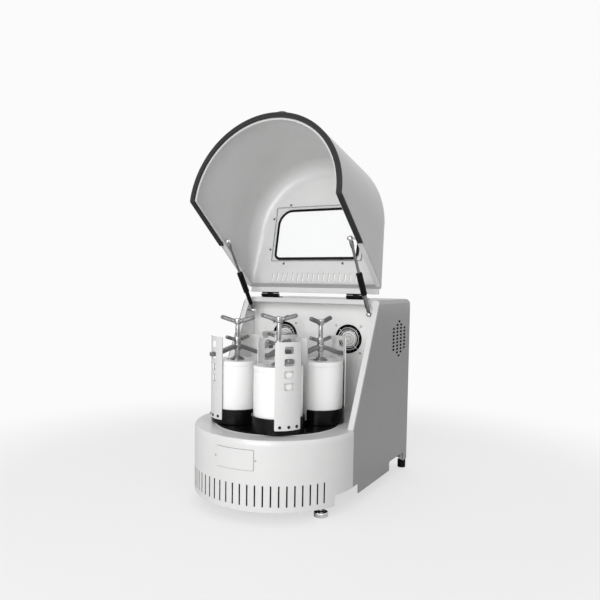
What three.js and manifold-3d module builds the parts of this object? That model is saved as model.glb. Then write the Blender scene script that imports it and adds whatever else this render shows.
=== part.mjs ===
// Planetary ball mill, hood open. Millimetres, +Z up, front towards -Y.
// Inside the model the turntable axis stands at x = 0, y = 0, and the floor is z = 0.
import * as THREE from 'three';
import { mergeVertices } from 'three/addons/utils/BufferGeometryUtils.js';
import Module from 'manifold-3d';

const wasm = await Module();
wasm.setup();

// Clearances
const GAP = 0.3;            // between touching pieces
const RUN = 0.8;            // round pieces that turn inside an opening
const OVER = 2;             // overrun of every cut
const MERGE = 0.001;       // points closer to a face than this are dropped

// Driving dimensions of the body
const WIDTH = 470;
const DRUM_R = WIDTH / 2;
const SHEET = 3;            // steel sheet of drum, casing and hood
const FOOT_H = 28;          // floor to the lower edge of the sheets
const DECK_Z = 211;         // top of the deck
const CASING_TOP = 560;
const REAR_Y = 449;
const SEAM_Y = 4;           // where the drum meets the casing
const SLOPE_TOP_Y = 181;    // upper end of the slanted border
const BORDER_W = 19;        // slanted border, each side
const BORDER_TOP_W = 22;
const EDGE_R = 16;          // rounded long edges of the casing
const NOTCH_H = 28;         // cut-outs along the lower edge
const FRONT_NOTCH_Y = 44;
const FRONT_NOTCH_ANGLE = -20;
const REAR_NOTCH_Y0 = 286;
const REAR_NOTCH_Y1 = 417;

// Slots of the drum
const SLOT_STEP = 5;        // degrees
const SLOT_SPAN = 60;       // degrees to each side of the front
const SLOT_W = 4;
const SLOT_L = 55;
const SLOT_LOW = 14;        // above the lower edge

// Jars, their holders and the turntable that carries them
const STATION_COUNT = 4;
const JAR_R = 66;
const HOLDER_WALL = 6;
const HOLDER_R = JAR_R + HOLDER_WALL;
const STATION_SPACE = 22.88;    // between two holders
const STATION_R = (HOLDER_R * 2 + STATION_SPACE) / (2 * Math.sin(Math.PI / STATION_COUNT));
const TABLE_EDGE = 53;      // from a station's axis to the turntable's edge
const TABLE_R = STATION_R + TABLE_EDGE;

// Chamber
const TABLE_RUN = 4.5;      // ring gap round the turntable
const DECK_HOLE_R = TABLE_R + TABLE_RUN;
const BACK_WALL_Y = 231;

// Side grille
const GRILLE_Y = 351;
const GRILLE_Z = 437;
const GRILLE_PITCH = 19;
const GRILLE_HOLE_R = 5;
const GRILLE_RINGS = 2;

// Rear panel and mains inlet
const LOUVRE_W = 70;
const LOUVRE_H = 5;
const LOUVRE_COUNT = 5;
const LOUVRE_STEP = 20;
const LOUVRE_Z = 388;
const INLET_INSET = 85;     // from the side wall
const INLET_X = INLET_INSET - DRUM_R;
const INLET_Z = 130;
const INLET_W = 32;
const INLET_H = 26;
const INLET_FLANGE = 9;
const INLET_T = 3;
const INLET_DEPTH = 20;
const INLET_PIN = 7;
const PIN_W = 2;

// Feet
const LEVEL_FOOT_INSET = 23;
const LEVEL_FOOT_R = DRUM_R - LEVEL_FOOT_INSET;   // from the turntable axis
const FRONT_FOOT_ANGLE = -27;
const LEVEL_DISC_R = 18.5;
const LEVEL_DISC_H = 13;
const LEVEL_STEM_R = 5;
const LEVEL_EDGE = 2;
const REAR_FOOT_INSET = 19;
const REAR_FOOT_X = DRUM_R - REAR_FOOT_INSET;
const REAR_FOOT_BACK = 18;  // from the rear edge
const REAR_FOOT_Y = REAR_Y - REAR_FOOT_BACK;
const REAR_FOOT_R = 14;
const REAR_FOOT_TOP_R = 11;

// Fans
const FAN_INSET = 122.5;    // from the side wall
const FAN_X = DRUM_R - FAN_INSET;
const FAN_Z = 437;
const FAN_SIZE = 92;
const FAN_BORE_R = 43;
const FAN_DEPTH = 25;
const FAN_HUB_R = 17;
const FAN_BLADES = 7;
const FAN_SCREW = 82.5;     // between the screws
const FAN_SCREW_R = 2;
const GUARD_T = 2.4;
const GUARD_RINGS = [31, 44];
const BLADE_T = 1.6;
const BLADE_L = 17;
const BLADE_PITCH = 50;     // degrees

// Hood
const HOOD_TOP = 564;       // closed
const HOOD_FILLET = 50;     // round the front
const REAR_FILLET = 18;     // at the rear edge
const HOOD_OPEN = 101.9;    // degrees from closed to open
const HINGE_Y = 198;
const HINGE_Z = 567;
const HOOD_REAR_Y = 191;
const SEAL_H = 7;           // gasket between the hood's rim and the body
const RIM_W = 19;           // inward rim of the hood
const SEAL_W = 14;
const SEAL_END = 160;       // height of the gasket's ends above the hood's rim

// Window in the hood's top
const WINDOW_W = 276;
const WINDOW_REAR_Y = 84;
const WINDOW_FRONT_Y = -80;
const WINDOW_FRONT_R = 42;
const WINDOW_REAR_R = 12;
const PANE_LAP = 7;
const PANE_T = 4;
const VENT_COUNT = 17;
const VENT_PITCH = 18;
const VENT_W = 5;
const VENT_Y0 = 127;
const VENT_Y1 = 154;
const FILLET_STEPS = 3;
const REAR_RIM_W = 14;

// Handle of the hood
const HANDLE_SPAN = 60;
const HANDLE_OUT = 25;
const HANDLE_T = 3;
const HANDLE_Z = 262;
const HANDLE_STEPS = 12;

// Hinges of the hood
const LEAF_W = 52;
const LEAF_INSET = 90;      // from the side wall
const LEAF_X = DRUM_R - LEAF_INSET;
const LEAF_T = 2.4;
const LEAF_D = 26;
const KNUCKLE_R = 5;
const PIN_R = 1.8;

// Gas struts
const STRUT_INSET = 34;     // from the side wall
const STRUT_X = DRUM_R - STRUT_INSET;
const STRUT_LOW_Y = 177;
const STRUT_LOW_Z = 517;
const STRUT_HIGH_Y = 31;
const STRUT_HIGH_Z = 729;
const STRUT_CYL_R = 9;
const STRUT_CYL_L = 144;
const STRUT_SLEEVE_L = 72;
const STRUT_TUBE_R = 6.5;
const STRUT_SHANK_R = 3;
const STRUT_SHANK_L = 27;
const STRUT_LAP = 16;
const STRUT_EYE_W = 13;
const STRUT_ROD_R = 4;
const STRUT_BALL_R = 7.5;
const STUD_R = 3;

// Turntable and drive
const TABLE_T = 14;
const TABLE_RISE = 2;       // above the deck
const BASE_T = 6;
const SHAFT_R = 15;
const HOUSING_R = 38;
const SUN_R = 44;
const PLANET_R = 22;
const BELT_T = 3;
const BELT_W = 9;
const BELT_LEVELS = 2;      // one planet belt each, for two opposite stations
const BELT_STEP = 16;       // height between two planet belts
const DRIVEN_R = 95;
const MOTOR_PULLEY_R = 32;
const MOTOR_Y = 335;
const MOTOR_R = 62;
const MOTOR_H = 185;
const DRIVE_BELT_W = 14;
const BELT_ARC = 20;        // degrees of one facet
const PULLEY_LIFT = 7;
const PULLEY_FLANGE = 2;
const BRIDGE_T = 8;
const BRIDGE_LEG = 24;
const BRIDGE_CLEAR = 15;    // between the belt and a leg
const BRIDGE_EDGE = 15;     // past the middle of a leg
const BRIDGE_LEG_R = DRIVEN_R + BELT_T + BRIDGE_CLEAR + BRIDGE_LEG / 2;
const BRIDGE_R = BRIDGE_LEG_R + BRIDGE_EDGE;
const FLANGE_R = 42;
const FLANGE_T = 9;
const LIGHTENING_R = 15;
const CAP_R = 34;
const MOTOR_PLATE = 150;
const MOTOR_SHAFT_R = 9.5;
const MOTOR_BOX = 22;
const MOTOR_FINS = 7;
const FIN_OUT = 6;

// Stations
const STATION_ANGLE = -60;  // degrees, the first one
const STATION_FACING = [-41, 57, -41, 63];    // degrees, direction of each crossbar
const HANDLE_FACING = [24, 38, 48, 20];
const NUT_FACING = [60, 20, 30, 75];
const HOLDER_H = 42;
const HOLDER_FLOOR = 8;
const PLANET_SHAFT_R = 12;
const JAR_TOP = 164;        // above the deck
const JAR_WALL = 9;
const LID_T = 13;
const LID_PLUG = 8;
const PLATE_T = 3;
const PLATE_HALF_ANGLE = 28;
const PLATE_TOP = 244;      // above the deck
const PANE_COUNT = 4;       // openings in each fence plate
const OPENING_W = 23;
const OPENING_H = 18.6;
const OPENING_STEP = 31.4;
const OPENING_FIRST = 11.6;
const BAR_T = 12;
const BAR_W = 17.5;
const BAR_OUT = 10;         // past the holder
const BAR_END_R = HOLDER_R + BAR_OUT;
const HUB_LOW = 205;
const HUB_H = 17;
const SCREW_R = 6.5;
const HUB_WALL = 3.5;
const HUB_R = SCREW_R + HUB_WALL;
const PAD_R = 20;
const PAD_T = 5;
const PAD_LIP = 4;
const LID_STEP_R = 30;
const PLATE_FACETS = 3;
const WING_WIDE = 13;
const NUT_H = 19;
const NUT_R = HUB_R;
const NUT_WING = 38;
const HANDLE_LOW = 281;
const HANDLE_H = 17;
const HANDLE_WING = 49.5;
const WING_RISE = 17;       // degrees
const WING_T = 11;

// Facets
const ROUND_BIG = 36;
const ROUND_JAR = 14;
const ROUND_MID = 12;
const ROUND_FINE = 8;
const ROUND_SMALL = 8;
const ROUND_HOLE = 6;
const CORNER_STEPS = 3;

const rad = (deg) => deg * Math.PI / 180;
const at = (r, deg) => [r * Math.cos(rad(deg)), r * Math.sin(rad(deg))];

// Materials
const paint = (color, roughness, metalness) =>
  new THREE.MeshStandardMaterial({ color, roughness, metalness });
const materials = {
  white: paint(0xe4e4e2, 0.45, 0.1),
  grey: paint(0x9c9c9a, 0.4, 0.15),
  black: paint(0x1c1c1d, 0.3, 0.1),
  rubber: paint(0x2a2a2a, 0.8, 0),
  steel: paint(0xb9bbbd, 0.3, 0.85),
  chrome: paint(0xd8dadc, 0.15, 0.95),
  ceramic: paint(0xf3f2ee, 0.35, 0),
  glass: paint(0xf4f7f8, 0.05, 0),
};

// Solids and booleans
function solid(geometry) {
  const bare = geometry.index ? geometry.toNonIndexed() : geometry.clone();
  bare.deleteAttribute('normal');
  bare.deleteAttribute('uv');
  const merged = mergeVertices(bare, 1e-4);
  return new wasm.Manifold(new wasm.Mesh({
    numProp: 3,
    vertProperties: new Float32Array(merged.attributes.position.array),
    triVerts: new Uint32Array(merged.index.array),
  }));
}

function toGeometry(body) {
  const mesh = body.getMesh();
  const geometry = new THREE.BufferGeometry();
  geometry.setAttribute('position', new THREE.BufferAttribute(mesh.vertProperties, 3));
  geometry.setIndex(new THREE.BufferAttribute(mesh.triVerts, 1));
  geometry.computeVertexNormals();
  return geometry;
}

const join = (parts) => parts.reduce((a, b) => a.add(b));
const cut = (body, tools) => tools.reduce((a, b) => a.subtract(b), body);

function box(x0, x1, y0, y1, z0, z1) {
  const geometry = new THREE.BoxGeometry(x1 - x0, y1 - y0, z1 - z0);
  return geometry.translate((x0 + x1) / 2, (y0 + y1) / 2, (z0 + z1) / 2);
}

// A cylinder standing on z0
function rod(radius, z0, z1, sides = ROUND_MID, x = 0, y = 0) {
  const geometry = new THREE.CylinderGeometry(radius, radius, z1 - z0, sides);
  return geometry.rotateX(Math.PI / 2).translate(x, y, (z0 + z1) / 2);
}

// A profile of [radius, z] points turned about the z axis
function turned(points, sides = ROUND_MID, x = 0, y = 0) {
  const profile = points.map(([r, z]) => new THREE.Vector2(r, z));
  return new THREE.LatheGeometry(profile, sides).rotateX(Math.PI / 2).translate(x, y, 0);
}

// A shape drawn in x and y, raised from z0 to z1
function raised(shape, z0, z1, curveSegments = 8) {
  const geometry = new THREE.ExtrudeGeometry(shape, { depth: z1 - z0, bevelEnabled: false, curveSegments });
  return geometry.translate(0, 0, z0);
}

// A shape drawn in y and z, carried from x0 to x1
function across(shape, x0, x1, curveSegments = CORNER_STEPS) {
  const geometry = new THREE.ExtrudeGeometry(shape, { depth: x1 - x0, bevelEnabled: false, curveSegments });
  return geometry.rotateZ(Math.PI / 2).rotateY(Math.PI / 2).translate(x0, 0, 0);
}

// A shape drawn in x and z, carried from y0 to y1
function along(shape, y0, y1, curveSegments = CORNER_STEPS) {
  const geometry = new THREE.ExtrudeGeometry(shape, { depth: y1 - y0, bevelEnabled: false, curveSegments });
  return geometry.rotateX(Math.PI / 2).translate(0, y1, 0);
}

function polygon(points) {
  return new THREE.Shape(points.map(([x, y]) => new THREE.Vector2(x, y)));
}

// A rectangle with its own radius at each corner: lower left, lower right, upper right, upper left
function roundedRectangle(x0, x1, y0, y1, radii) {
  const [a, b, c, d] = radii;
  const shape = new THREE.Shape();
  shape.moveTo(x0 + a, y0);
  shape.lineTo(x1 - b, y0);
  if (b > 0) shape.absarc(x1 - b, y0 + b, b, rad(-90), 0);
  shape.lineTo(x1, y1 - c);
  if (c > 0) shape.absarc(x1 - c, y1 - c, c, 0, rad(90));
  shape.lineTo(x0 + d, y1);
  if (d > 0) shape.absarc(x0 + d, y1 - d, d, rad(90), rad(180));
  shape.lineTo(x0, y0 + a);
  if (a > 0) shape.absarc(x0 + a, y0 + a, a, rad(180), rad(270));
  return shape;
}

// Half a disc in front and straight sides behind, drawn in x and y
function dShape(radius, rearY, segments = ROUND_BIG / 2) {
  const points = [[radius, rearY]];
  for (let i = 0; i <= segments; i += 1) points.push(at(radius, -180 * i / segments));
  points.push([-radius, rearY]);
  return polygon(points.reverse());
}

const model = new THREE.Group();
const stage = new THREE.Group();   // moved so that the floor's middle is the origin
stage.position.y = (DRUM_R - REAR_Y) / 2;
model.add(stage);

function place(name, body, material, parent = stage) {
  const whole = body instanceof THREE.BufferGeometry ? solid(body) : body;
  const geometry = toGeometry(whole.asOriginal().simplify(MERGE));
  const mesh = new THREE.Mesh(geometry, material);
  mesh.name = name;
  parent.add(mesh);
  return mesh;
}

// Drum

function drumShell() {
  const low = FOOT_H;
  const outer = solid(raised(dShape(DRUM_R, SEAM_Y - GAP), low, DECK_Z));
  const inner = solid(raised(dShape(DRUM_R - SHEET, SEAM_Y + OVER), low - OVER, DECK_Z - SHEET));
  const deckRear = box(-(DRUM_R - SHEET - GAP), DRUM_R - SHEET - GAP, SEAM_Y - OVER,
    BACK_WALL_Y - GAP, DECK_Z - SHEET, DECK_Z);
  const hole = solid(rod(DECK_HOLE_R, low - OVER, DECK_Z + OVER, ROUND_BIG));
  let shell = outer.subtract(inner).add(solid(deckRear)).subtract(hole);
  const slots = [];
  const slotZ = low + SLOT_LOW;
  for (let a = -SLOT_SPAN; a <= SLOT_SPAN; a += SLOT_STEP) {
    slots.push(solid(box(-SLOT_W / 2, SLOT_W / 2, -DRUM_R - OVER, -DRUM_R + SHEET * 2, slotZ, slotZ + SLOT_L)
      .rotateZ(rad(a))));
  }
  shell = cut(shell, slots);
  const notchStart = DRUM_R * Math.sin(rad(FRONT_NOTCH_ANGLE));
  for (const side of [-1, 1]) {
    const xs = [side * DRUM_R * Math.cos(rad(FRONT_NOTCH_ANGLE * 2)), side * (DRUM_R + OVER)].sort((p, q) => p - q);
    shell = shell.subtract(solid(box(xs[0], xs[1], notchStart, SEAM_Y + OVER, low - OVER, low + NOTCH_H)));
  }
  return shell;
}

// Casing

const slopeRise = (CASING_TOP - DECK_Z) / (SLOPE_TOP_Y - SEAM_Y);
const slopeY = (z) => SEAM_Y + (z - DECK_Z) / slopeRise;

// Side outline of the body behind the drum, drawn in y and z
function sideOutline(inset, rearY) {
  const top = CASING_TOP - inset;
  const radius = EDGE_R - inset;
  const shape = new THREE.Shape();
  shape.moveTo(SEAM_Y, FOOT_H);
  shape.lineTo(rearY, FOOT_H);
  shape.lineTo(rearY, top - radius);
  shape.absarc(rearY - radius, top - radius, radius, 0, rad(90));
  shape.lineTo(slopeY(top), top);
  shape.lineTo(SEAM_Y, DECK_Z);
  return shape;
}

function frontOutline(inset) {
  const half = DRUM_R - inset;
  const r = EDGE_R - inset;
  return roundedRectangle(-half, half, FOOT_H - OVER, CASING_TOP - inset, [0, 0, r, r]);
}

function casing() {
  const outer = solid(across(sideOutline(0, REAR_Y), -DRUM_R, DRUM_R))
    .intersect(solid(along(frontOutline(0), SEAM_Y, REAR_Y)));
  // the hollow stops one sheet behind the slanted face, so that the border is left
  const wall = SHEET * Math.hypot(1, slopeRise) / slopeRise;
  const hollow = new THREE.Shape();
  const top = CASING_TOP - SHEET;
  hollow.moveTo(SEAM_Y + wall, DECK_Z + GAP);
  hollow.lineTo(SEAM_Y - OVER, DECK_Z + GAP);
  hollow.lineTo(SEAM_Y - OVER, FOOT_H - OVER);
  hollow.lineTo(REAR_Y - SHEET - GAP, FOOT_H - OVER);
  hollow.lineTo(REAR_Y - SHEET - GAP, top - EDGE_R);
  hollow.absarc(REAR_Y - SHEET - GAP - EDGE_R, top - EDGE_R, EDGE_R, 0, rad(90));
  hollow.lineTo(slopeY(top) + wall, top);
  const inner = solid(across(hollow, -DRUM_R + SHEET, DRUM_R - SHEET))
    .intersect(solid(along(frontOutline(SHEET), -OVER, REAR_Y + OVER)));
  // opening inside the border, cut level through the slanted face
  const half = DRUM_R - BORDER_W;
  const mouthTop = CASING_TOP - BORDER_TOP_W;
  const mouth = roundedRectangle(-half, half, FOOT_H - OVER, mouthTop, [0, 0, EDGE_R, EDGE_R]);
  let body = outer.subtract(inner).subtract(solid(along(mouth, SEAM_Y - OVER, slopeY(mouthTop) + wall + OVER)));
  // rear opening for the rear panel, with a return edge all round
  const rim = SHEET + BORDER_W;
  const rear = roundedRectangle(-DRUM_R + rim, DRUM_R - rim, FOOT_H + rim, CASING_TOP - rim, Array(4).fill(EDGE_R));
  body = body.subtract(solid(along(rear, REAR_Y - SHEET * 2, REAR_Y + OVER)));
  const low = FOOT_H - OVER;
  const high = FOOT_H + NOTCH_H;
  body = cut(body, [
    solid(box(-DRUM_R - OVER, DRUM_R + OVER, SEAM_Y - OVER, FRONT_NOTCH_Y, low, high)),
    solid(box(-DRUM_R - OVER, DRUM_R + OVER, REAR_NOTCH_Y0, REAR_NOTCH_Y1, low, high)),
    grilleHoles(),
  ]);
  return body;
}

// Rings of round holes in a hexagonal pattern, through the right wall only
function grilleHoles() {
  const holes = [];
  for (let i = -GRILLE_RINGS; i <= GRILLE_RINGS; i += 1) {
    for (let j = -GRILLE_RINGS; j <= GRILLE_RINGS; j += 1) {
      const y = GRILLE_PITCH * (i + j / 2);
      const z = GRILLE_PITCH * j * Math.sqrt(3) / 2;
      if (Math.hypot(y, z) > GRILLE_PITCH * (GRILLE_RINGS + 0.1)) continue;
      const hole = rod(GRILLE_HOLE_R, -SHEET * 2, SHEET * 2, ROUND_HOLE).rotateY(Math.PI / 2);
      holes.push(solid(hole.translate(DRUM_R - SHEET / 2, GRILLE_Y + y, GRILLE_Z + z)));
    }
  }
  return join(holes);
}

function chamberBack() {
  const half = DRUM_R - SHEET - GAP;
  const low = DECK_Z - SHEET;
  const top = CASING_TOP - SHEET - GAP;
  const r = EDGE_R - SHEET;
  const sheet = roundedRectangle(-half, half, low, top, [0, 0, r, r]);
  let body = solid(along(sheet, BACK_WALL_Y, BACK_WALL_Y + SHEET));
  const bore = (r, sides, x, z) => solid(rod(r, -SHEET * 2, SHEET * 2, sides).rotateX(Math.PI / 2)
    .translate(x, BACK_WALL_Y + SHEET / 2, z));
  for (const x of [-FAN_X, FAN_X]) {
    body = body.subtract(bore(FAN_BORE_R, ROUND_MID, x, FAN_Z));
    for (const dx of [-FAN_SCREW / 2, FAN_SCREW / 2]) {
      for (const dz of [-FAN_SCREW / 2, FAN_SCREW / 2]) {
        body = body.subtract(bore(FAN_SCREW_R + GAP * 2, ROUND_HOLE, x + dx, FAN_Z + dz));
      }
    }
  }
  return body;
}

// Base plate, feet and rear panel

const BASE_Z = FOOT_H + NOTCH_H + GAP;
const BASE_TOP = BASE_Z + BASE_T;
const PANEL_REAR = REAR_Y - SHEET - GAP * 2;

function basePlate() {
  return raised(dShape(DRUM_R - SHEET - GAP, PANEL_REAR - SHEET - GAP), BASE_Z, BASE_TOP);
}

function levellingFoot(side) {
  const [x, y] = at(LEVEL_FOOT_R, FRONT_FOOT_ANGLE);
  return turned([[0, 0], [LEVEL_DISC_R - LEVEL_EDGE, 0], [LEVEL_DISC_R, LEVEL_EDGE],
    [LEVEL_DISC_R, LEVEL_DISC_H - LEVEL_EDGE], [LEVEL_DISC_R - LEVEL_EDGE, LEVEL_DISC_H],
    [LEVEL_STEM_R * 2, LEVEL_DISC_H], [LEVEL_STEM_R, LEVEL_DISC_H + LEVEL_EDGE * 2],
    [LEVEL_STEM_R, BASE_Z - GAP], [0, BASE_Z - GAP]], ROUND_MID, side * x, y);
}

function rearFoot(side) {
  return turned([[0, 0], [REAR_FOOT_R - LEVEL_EDGE, 0], [REAR_FOOT_R, LEVEL_EDGE],
    [REAR_FOOT_TOP_R, BASE_Z - GAP], [0, BASE_Z - GAP]], ROUND_MID, side * REAR_FOOT_X, REAR_FOOT_Y);
}

function rearPanel() {
  const edge = SHEET + EDGE_R + GAP;
  const half = DRUM_R - edge;
  const outline = roundedRectangle(-half, half, FOOT_H + edge, CASING_TOP - edge, Array(4).fill(EDGE_R));
  let body = solid(along(outline, PANEL_REAR - SHEET, PANEL_REAR));
  for (let i = 0; i < LOUVRE_COUNT; i += 1) {
    for (const x of [-FAN_X, FAN_X]) {
      const z = LOUVRE_Z + i * LOUVRE_STEP;
      body = body.subtract(solid(box(x - LOUVRE_W / 2, x + LOUVRE_W / 2, PANEL_REAR - SHEET - OVER,
        PANEL_REAR + OVER, z, z + LOUVRE_H)));
    }
  }
  const hole = box(INLET_X - INLET_W / 2 - GAP, INLET_X + INLET_W / 2 + GAP, PANEL_REAR - SHEET - OVER,
    PANEL_REAR + OVER, INLET_Z - INLET_H / 2 - GAP, INLET_Z + INLET_H / 2 + GAP);
  return body.subtract(solid(hole));
}

function powerInlet() {
  const x0 = INLET_X - INLET_W / 2;
  const x1 = INLET_X + INLET_W / 2;
  const z0 = INLET_Z - INLET_H / 2;
  const z1 = INLET_Z + INLET_H / 2;
  const flangeY = PANEL_REAR + GAP;
  const flange = box(x0 - INLET_FLANGE, x1 + INLET_FLANGE, flangeY, flangeY + INLET_T,
    z0 - INLET_T, z1 + INLET_T);
  const body = box(x0, x1, flangeY - INLET_DEPTH, flangeY + OVER / 2, z0, z1);
  const socket = roundedRectangle(x0 + INLET_T, x1 - INLET_T, z0 + INLET_T, z1 - INLET_T,
    [INLET_T, INLET_T, 0, 0]);
  let inlet = solid(flange).add(solid(body));
  inlet = inlet.subtract(solid(along(socket, flangeY - INLET_DEPTH * 0.7, flangeY + INLET_T + OVER, 2)));
  for (const dx of [-INLET_PIN, 0, INLET_PIN]) {
    inlet = inlet.add(solid(box(INLET_X + dx - PIN_W / 2, INLET_X + dx + PIN_W / 2,
      flangeY - INLET_DEPTH * 0.8, flangeY - INLET_T, INLET_Z - PIN_W, INLET_Z + PIN_W)));
  }
  return inlet;
}

// Fans

function fanFrame(x) {
  const front = BACK_WALL_Y + SHEET + GAP;
  const back = front + FAN_DEPTH;
  const half = FAN_SIZE / 2;
  const outline = roundedRectangle(-half, half, -half, half, Array(4).fill(FAN_SCREW_R * 2));
  let body = solid(along(outline, front, back, 1));
  body = body.subtract(solid(rod(FAN_BORE_R, -FAN_DEPTH, FAN_DEPTH).rotateX(Math.PI / 2)
    .translate(0, front + FAN_DEPTH / 2, 0)));
  const parts = [body, solid(rod(FAN_HUB_R, -GUARD_T / 2, GUARD_T / 2).rotateX(Math.PI / 2)
    .translate(0, back - GUARD_T / 2, 0))];
  for (const a of [30, 150, 270]) {
    parts.push(solid(box(FAN_HUB_R / 2, FAN_BORE_R + GUARD_T, back - GUARD_T, back, -GUARD_T, GUARD_T).rotateY(rad(a))));
  }
  // wire guard in front of the wall, joined to the frame by its four screws
  const guardY = BACK_WALL_Y - GAP - GUARD_T;
  for (const r of GUARD_RINGS) {
    parts.push(solid(turned([[r - GUARD_T, 0], [r, 0], [r, GUARD_T], [r - GUARD_T, GUARD_T], [r - GUARD_T, 0]], ROUND_MID)
      .rotateX(Math.PI / 2).translate(0, guardY + GUARD_T, 0)));
  }
  parts.push(solid(rod(FAN_HUB_R, 0, GUARD_T).rotateX(Math.PI / 2).translate(0, guardY + GUARD_T, 0)));
  for (const sx of [-1, 1]) {
    for (const sz of [-1, 1]) {
      const bar = box(FAN_HUB_R - GUARD_T, Math.hypot(FAN_SCREW, FAN_SCREW) / 2, guardY, guardY + GUARD_T,
        -GUARD_T / 2, GUARD_T / 2).rotateY(Math.atan2(-sz, sx));
      const screw = rod(FAN_SCREW_R, guardY - GUARD_T / 2, front + OVER, ROUND_HOLE);
      parts.push(solid(bar), solid(screw.rotateX(-Math.PI / 2)
        .translate(sx * FAN_SCREW / 2, 0, sz * FAN_SCREW / 2)));
    }
  }
  return join(parts).translate([x, 0, FAN_Z]);
}

function fanRotor(x) {
  const front = BACK_WALL_Y + SHEET + GAP + GUARD_T;
  const back = BACK_WALL_Y + SHEET + GAP + FAN_DEPTH - GUARD_T - GAP;
  const parts = [solid(rod(FAN_HUB_R, 0, back - front).rotateX(Math.PI / 2).translate(0, back, 0))];
  for (let i = 0; i < FAN_BLADES; i += 1) {
    const blade = box(FAN_HUB_R - OVER, FAN_BORE_R - GUARD_T, -BLADE_T / 2, BLADE_T / 2, -BLADE_L / 2, BLADE_L / 2);
    parts.push(solid(blade.rotateX(rad(BLADE_PITCH)).translate(0, (front + back) / 2, 0)
      .rotateY(rad(360 * i / FAN_BLADES))));
  }
  return join(parts).translate([x, 0, FAN_Z]);
}

// Drive

const PULLEY_Z = BASE_TOP + PULLEY_LIFT;
const BRIDGE_Z = PULLEY_Z + DRIVE_BELT_W + PULLEY_FLANGE * 2 + PULLEY_LIFT;
const SUN_Z = BRIDGE_Z + BRIDGE_T + PULLEY_LIFT;
const beltZ = (k) => SUN_Z + k * BELT_STEP;
const TABLE_LOW = DECK_Z + TABLE_RISE - TABLE_T;

// Points of an arc whose facets stay outside the radius
function outerArc(radius, x, from, to) {
  const count = Math.max(2, Math.round((to - from) / BELT_ARC));
  const reach = radius / Math.cos(rad((to - from) / count / 2));
  return Array.from({ length: count + 1 }, (_, i) => {
    const [px, py] = at(reach, from + (to - from) * i / count);
    return [x + px, py];
  });
}

const tangent = (r1, r2, d) => Math.acos((r1 - r2) / d) * 180 / Math.PI;

// Outline round a wheel at the origin and a smaller one at d along x
function pairOutline(r1, r2, d, offset) {
  const lean = tangent(r1, r2, d);
  return [...outerArc(r2 + offset, d, -lean, lean), ...outerArc(r1 + offset, 0, lean, 360 - lean)];
}

// Outline round a wheel at the origin and two smaller ones, one on each side
function tripleOutline(r1, r2, d, offset) {
  const lean = tangent(r1, r2, d);
  return [...outerArc(r2 + offset, d, -lean, lean), ...outerArc(r1 + offset, 0, lean, 180 - lean),
    ...outerArc(r2 + offset, -d, 180 - lean, 180 + lean), ...outerArc(r1 + offset, 0, 180 + lean, 360 - lean)];
}

function belt(outline, r1, r2, d, z, width) {
  const shape = polygon(outline(r1, r2, d, GAP + BELT_T));
  shape.holes.push(new THREE.Path(outline(r1, r2, d, GAP).map(([x, y]) => new THREE.Vector2(x, y))));
  return raised(shape, z, z + width);
}

// A pulley with a flange under the belt, round a shaft of radius inner
function pulley(r, inner, z, width, x = 0, y = 0) {
  const lip = r + BELT_T;
  const low = z - PULLEY_FLANGE;
  const high = z + width + PULLEY_FLANGE;
  return solid(turned([[inner, low], [lip, low], [lip, z - GAP], [r, z - GAP], [r, high], [inner, high], [inner, low]],
    ROUND_FINE, x, y));
}

function bearingHousing() {
  const top = beltZ(BELT_LEVELS - 1) + BELT_W + PULLEY_FLANGE;
  const parts = [solid(rod(BRIDGE_R, BRIDGE_Z, BRIDGE_Z + BRIDGE_T, ROUND_MID))];
  for (const a of [0, 90, 180, 270]) {
    const [x, y] = at(BRIDGE_LEG_R, a);
    parts.push(solid(box(x - BRIDGE_LEG / 2, x + BRIDGE_LEG / 2, y - BRIDGE_LEG / 2, y + BRIDGE_LEG / 2,
      BASE_TOP + GAP, BRIDGE_Z + OVER)));
  }
  parts.push(solid(rod(HOUSING_R, BRIDGE_Z, top, ROUND_MID)));
  // one groove of the fixed sun pulley for each planet belt
  for (let k = 0; k < BELT_LEVELS; k += 1) parts.push(pulley(SUN_R, HOUSING_R - OVER, beltZ(k), BELT_W));
  return join(parts).subtract(solid(rod(SHAFT_R + RUN, BRIDGE_Z - OVER, top + OVER, ROUND_MID)));
}

function mainShaft() {
  const low = BASE_TOP + GAP;
  const top = TABLE_LOW - GAP;
  const body = solid(turned([[0, low], [SHAFT_R, low], [SHAFT_R, top - FLANGE_T], [FLANGE_R, top - FLANGE_T],
    [FLANGE_R, top], [0, top]]));
  const wheel = pulley(DRIVEN_R, SHAFT_R - OVER, PULLEY_Z, DRIVE_BELT_W);
  const holes = [];
  for (let i = 0; i < 5; i += 1) {
    const [x, y] = at((SHAFT_R + DRIVEN_R) / 2, 72 * i);
    holes.push(solid(rod(LIGHTENING_R, PULLEY_Z - PULLEY_FLANGE * 2, PULLEY_Z + DRIVE_BELT_W + PULLEY_FLANGE * 2,
      ROUND_SMALL, x, y)));
  }
  return body.add(cut(wheel, holes));
}

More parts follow.
